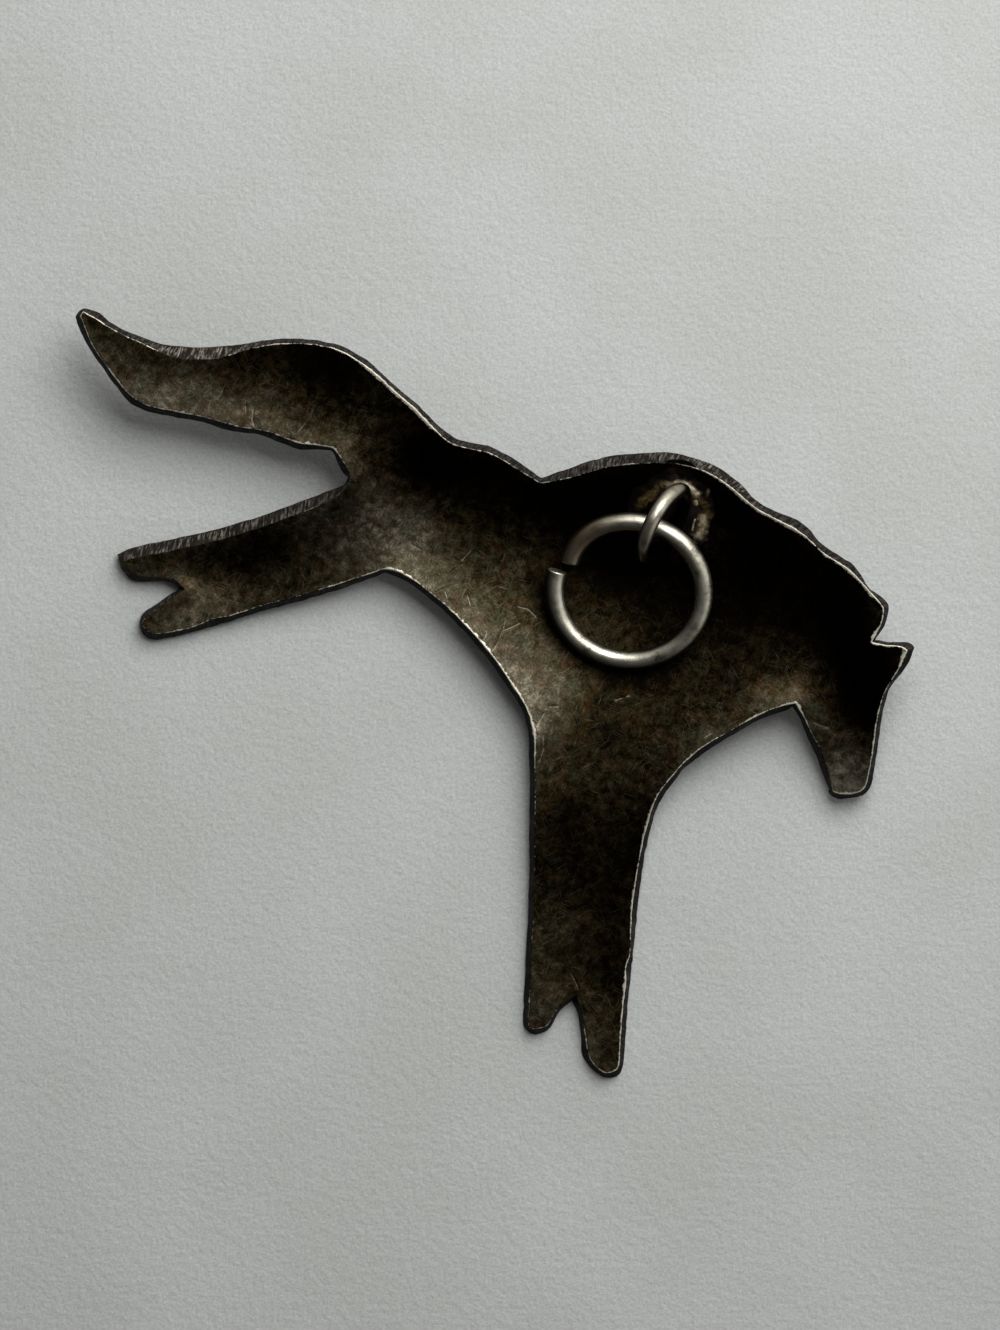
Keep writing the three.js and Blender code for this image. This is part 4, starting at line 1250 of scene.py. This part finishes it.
# %% Wire finish
def wire_finish(name, light, dark, tarnish, low, high):
    """Satin silver: two tones in patches, thin lines along the wire, and tarnish where the cloud is low."""
    material, tree, shader = new_finish(name)
    place = in_mm(tree)
    lines_at = put(tree, "CombineXYZ", {0: calc(tree, "MULTIPLY", mark(tree, "run"), 0.8),
                                        1: calc(tree, "MULTIPLY", mark(tree, "round"), 26.0)})
    drawn = cloud(tree, lines_at, 1.0, detail=4.0, roughness=0.65)
    patches = cloud(tree, place, 1.1, detail=5, roughness=0.65)
    fine = cloud(tree, place, 0.12, detail=3)
    tone = blend(tree, between(tree, patches, 0.35, 0.65), dark, light)
    tone = blend(tree, calc(tree, "MULTIPLY", between(tree, drawn, 0.55, 0.75), 0.5), tone, dark)
    stained = between(tree, patches, 0.44, 0.3)
    tone = blend(tree, calc(tree, "MULTIPLY", stained, 0.8), tone, tarnish)
    # Tarnish, and painted shade, where the wire is turned from its worn and lit side.
    tarnish_and_side_shade = calc(tree, "ADD", 1.0, swing(tree, patches, 0.5))
    tarnish_and_side_shade = calc(tree, "SUBTRACT", tarnish_and_side_shade, mark(tree, "rubbed"), clamp=True)
    tone = blend(tree, tarnish_and_side_shade, tone, tarnish)
    shader.inputs["Metallic"].default_value = 1.0
    roughness = put(tree, "MapRange", {"Value": drawn, "To Min": low, "To Max": high})
    tree.links.new(roughness, shader.inputs["Roughness"])
    height = calc(tree, "ADD", calc(tree, "MULTIPLY", drawn, 0.7), calc(tree, "MULTIPLY", fine, 0.3))
    tree.links.new(bump(tree, height, 0.012), shader.inputs["Normal"])
    return material, tree, shader, tone


ring_silver, tree, shader, tone = wire_finish(
    "ring_silver", (0.78, 0.745, 0.62), (0.38, 0.35, 0.27), (0.07, 0.058, 0.04), 0.28, 0.46
)
tone = blend(tree, calc(tree, "MULTIPLY", mark(tree, "brown"), 0.85), tone, (0.15, 0.108, 0.064))
tone = blend(tree, mark(tree, "cut"), tone, (0.66, 0.63, 0.53))
tree.links.new(tone, shader.inputs["Base Color"])
ring.data.materials.append(ring_silver)

bail_silver, tree, shader, tone = wire_finish(
    "bail_silver", (0.62, 0.58, 0.46), (0.28, 0.25, 0.185), (0.06, 0.047, 0.03), 0.22, 0.4
)
# Painted shade: the lower half of the bail, deep in the hollow, goes near black.
painted_shade_below = between(tree, mark(tree, "up"), 0.48, 0.12)
tone = blend(tree, painted_shade_below, tone, (0.004, 0.003, 0.002))
tree.links.new(tone, shader.inputs["Base Color"])
bail.data.materials.append(bail_silver)
print("wire finishes:", ring_silver.name, bail_silver.name)

# %% [markdown]
# Solder and flux have set round the bail's foot as a rough crust. Most of it is black, as the hollow's
# patina with its painted shade. Tan and cream lumps stand out of it in a broken ring round the foot, where
# the flux boiled, and the palest of them carry painted highlights. The crust is a height above the hollow
# over a round patch, on rings and spokes round the middle of its solid, and its rim is pulled in and out at
# random, so that it doesn't read as a disc.

# %% Solder crust
crust_low, crust_high = (np.array(corner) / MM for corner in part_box("bail_solder"))
crust_middle = (crust_low + crust_high)[:2] / 2
crust_radius = (crust_high - crust_low)[:2].max() / 2
CRUST_RINGS, CRUST_SPOKES = 96, 300
CRUST_LEVEL = 2.4
# Ridges as a path in pixels, then reach px, paleness with painted highlight, ochre, height mm.
crust_ridges = [
    ([(641, 504), (648, 498), (656, 492), (664, 488)], 7, 0.5, 1.0, 0.08),
    ([(634, 497), (638, 496)], 4, 0.15, 1.0, 0.02),
    ([(667, 486.5), (675, 484), (683, 484.5)], 4.5, 0.6, 0.3, 0.16),
    ([(683, 485), (690, 489), (696, 495.5)], 4, 1.0, 0.0, 0.2),
    ([(695.6, 502.5), (695.8, 503.5)], 2.4, 1.1, 0.0, 0.15),
    ([(699, 500), (705, 507), (709, 516)], 5.5, 0.38, 1.0, 0.08),
    ([(703.5, 518), (703, 526), (699.5, 534)], 6.8, 0.6, 0.4, 0.13),
    ([(695, 519), (692.5, 530)], 1.5, 0.75, 0.1, 0.08),
    ([(714, 534), (713, 537)], 2.5, 0.42, 0.6, 0.03),
    ([(708.5, 540), (708, 543)], 2.2, 0.5, 0.5, 0.03),
    ([(708, 491), (707, 495)], 2.5, 0.3, 0.3, 0.04),
    ([(714, 545), (718, 560)], 4, 0.2, 1.0, 0.02),
]


RIDGE_POINTS = 16


def along_path(path):
    """RIDGE_POINTS points at even shares of the way from corner to corner of a path."""
    at = np.linspace(0, len(path) - 1, RIDGE_POINTS)
    return points_along(np.array(path, float), np.arange(len(path)), at)


crust_lumps = np.concatenate([
    np.column_stack([along_path(path), np.tile([reach, *looks], (RIDGE_POINTS, 1))])
    for path, reach, *looks in crust_ridges
])
out, spin = np.meshgrid(
    np.linspace(0.004, 1, CRUST_RINGS), 2 * np.pi * np.arange(CRUST_SPOKES) / CRUST_SPOKES, indexing="ij"
)
direction = np.stack([np.cos(spin), np.sin(spin)], axis=-1)
ragged = 1 + 0.1 * lumps((direction * 2.2).reshape(-1, 2), 0.7, 61).reshape(out.shape)
SKIRT = 1.45
crust_places = (crust_middle + direction * (out * ragged * crust_radius * SKIRT)[..., None]).reshape(-1, 2)
lump_gap = np.linalg.norm(
    crust_places[:, None] - seen_at(crust_lumps[:, :2], CRUST_LEVEL)[None], axis=2
) * PIXELS_PER_MM / crust_lumps[:, 2]
uneven_gap = 1 + 0.3 * lumps(crust_places, 0.3, 65) + 0.12 * lumps(crust_places, 0.13, 66)
lump_gap *= uneven_gap[:, None]
lump_share = np.exp(-(lump_gap**2))
crust_pale_and_highlight = (crust_lumps[:, 3] * lump_share).max(1)
crust_ochre = (crust_lumps[:, 4] * lump_share**2).sum(1) / ((lump_share**2).sum(1) + 0.05)
lump_rise = (crust_lumps[:, 5] * lump_share).max(1)
mound = 0.09 * smoothstep(0.95, 0.3, out.ravel())
grains = 0.018 * lumps(crust_places, 0.25, 63) + 0.01 * lumps(crust_places, 0.1, 64)
fade = smoothstep(1, 0.75, out.ravel())
crust_rise = (mound + lump_rise + grains * (0.6 + crust_pale_and_highlight) + 0.035) * fade - 0.03
crust_top = np.column_stack([crust_places, hollow_height(crust_places) + crust_rise])
BURIED = 0.12
crust_under = crust_top[-CRUST_SPOKES:] - (0, 0, BURIED)
crust_corners = np.concatenate([crust_top, crust_under])
crust_faces = grid_faces(CRUST_RINGS + 1, CRUST_SPOKES).tolist()
last_ring = range(len(crust_corners) - CRUST_SPOKES, len(crust_corners))
crust_faces += [list(range(CRUST_SPOKES))[::-1], list(last_ring)]
crust = add_mesh("crust_dressed", crust_corners, crust_faces, {
    "pale": np.append(crust_pale_and_highlight, np.zeros(CRUST_SPOKES)),
    "ochre": np.append(crust_ochre, np.zeros(CRUST_SPOKES)),
})
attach(crust, "horse")
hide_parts("bail_solder")
print("crust", round(crust_radius * 2, 2), "mm across at", crust_middle.round(2))

# %% [markdown]
# The crust's colour goes from black, the hollow's patina with painted shade, through stained ochre, to
# cream on the highest lumps, whose palest spots are painted highlights. How pale and how yellow each
# corner is was stored with the ridges, and a gritty cloud breaks up the borders.

# %% Crust finish
crusty, tree, shader = new_finish("crust")
place = in_mm(tree)
grit = cloud(tree, place, 0.28, detail=6, roughness=0.65)
stain = cloud(tree, place, 0.7, detail=4)
black_and_shade_tone = blend(tree, between(tree, stain, 0.42, 0.7), (0.001, 0.0007, 0.0005), (0.012, 0.006, 0.0025))
ochre_tone = blend(tree, between(tree, grit, 0.35, 0.7), (0.062, 0.038, 0.009), (0.22, 0.155, 0.052))
cream_tone = blend(tree, between(tree, grit, 0.35, 0.7), (0.2, 0.15, 0.09), (0.6, 0.53, 0.38))
high_tone = blend(tree, mark(tree, "ochre"), cream_tone, ochre_tone)
pale_and_highlit_here = calc(tree, "ADD", mark(tree, "pale"), swing(tree, grit, 0.45))
tone = blend(tree, between(tree, pale_and_highlit_here, 0.1, 0.8), black_and_shade_tone, high_tone)
tree.links.new(tone, shader.inputs["Base Color"])
shader.inputs["Roughness"].default_value = 0.5
shader.inputs["Specular IOR Level"].default_value = 0.12
tree.links.new(bump(tree, grit, 0.03), shader.inputs["Normal"])
crust.data.materials.append(crusty)
print("crust finish made of", len(tree.nodes), "nodes")
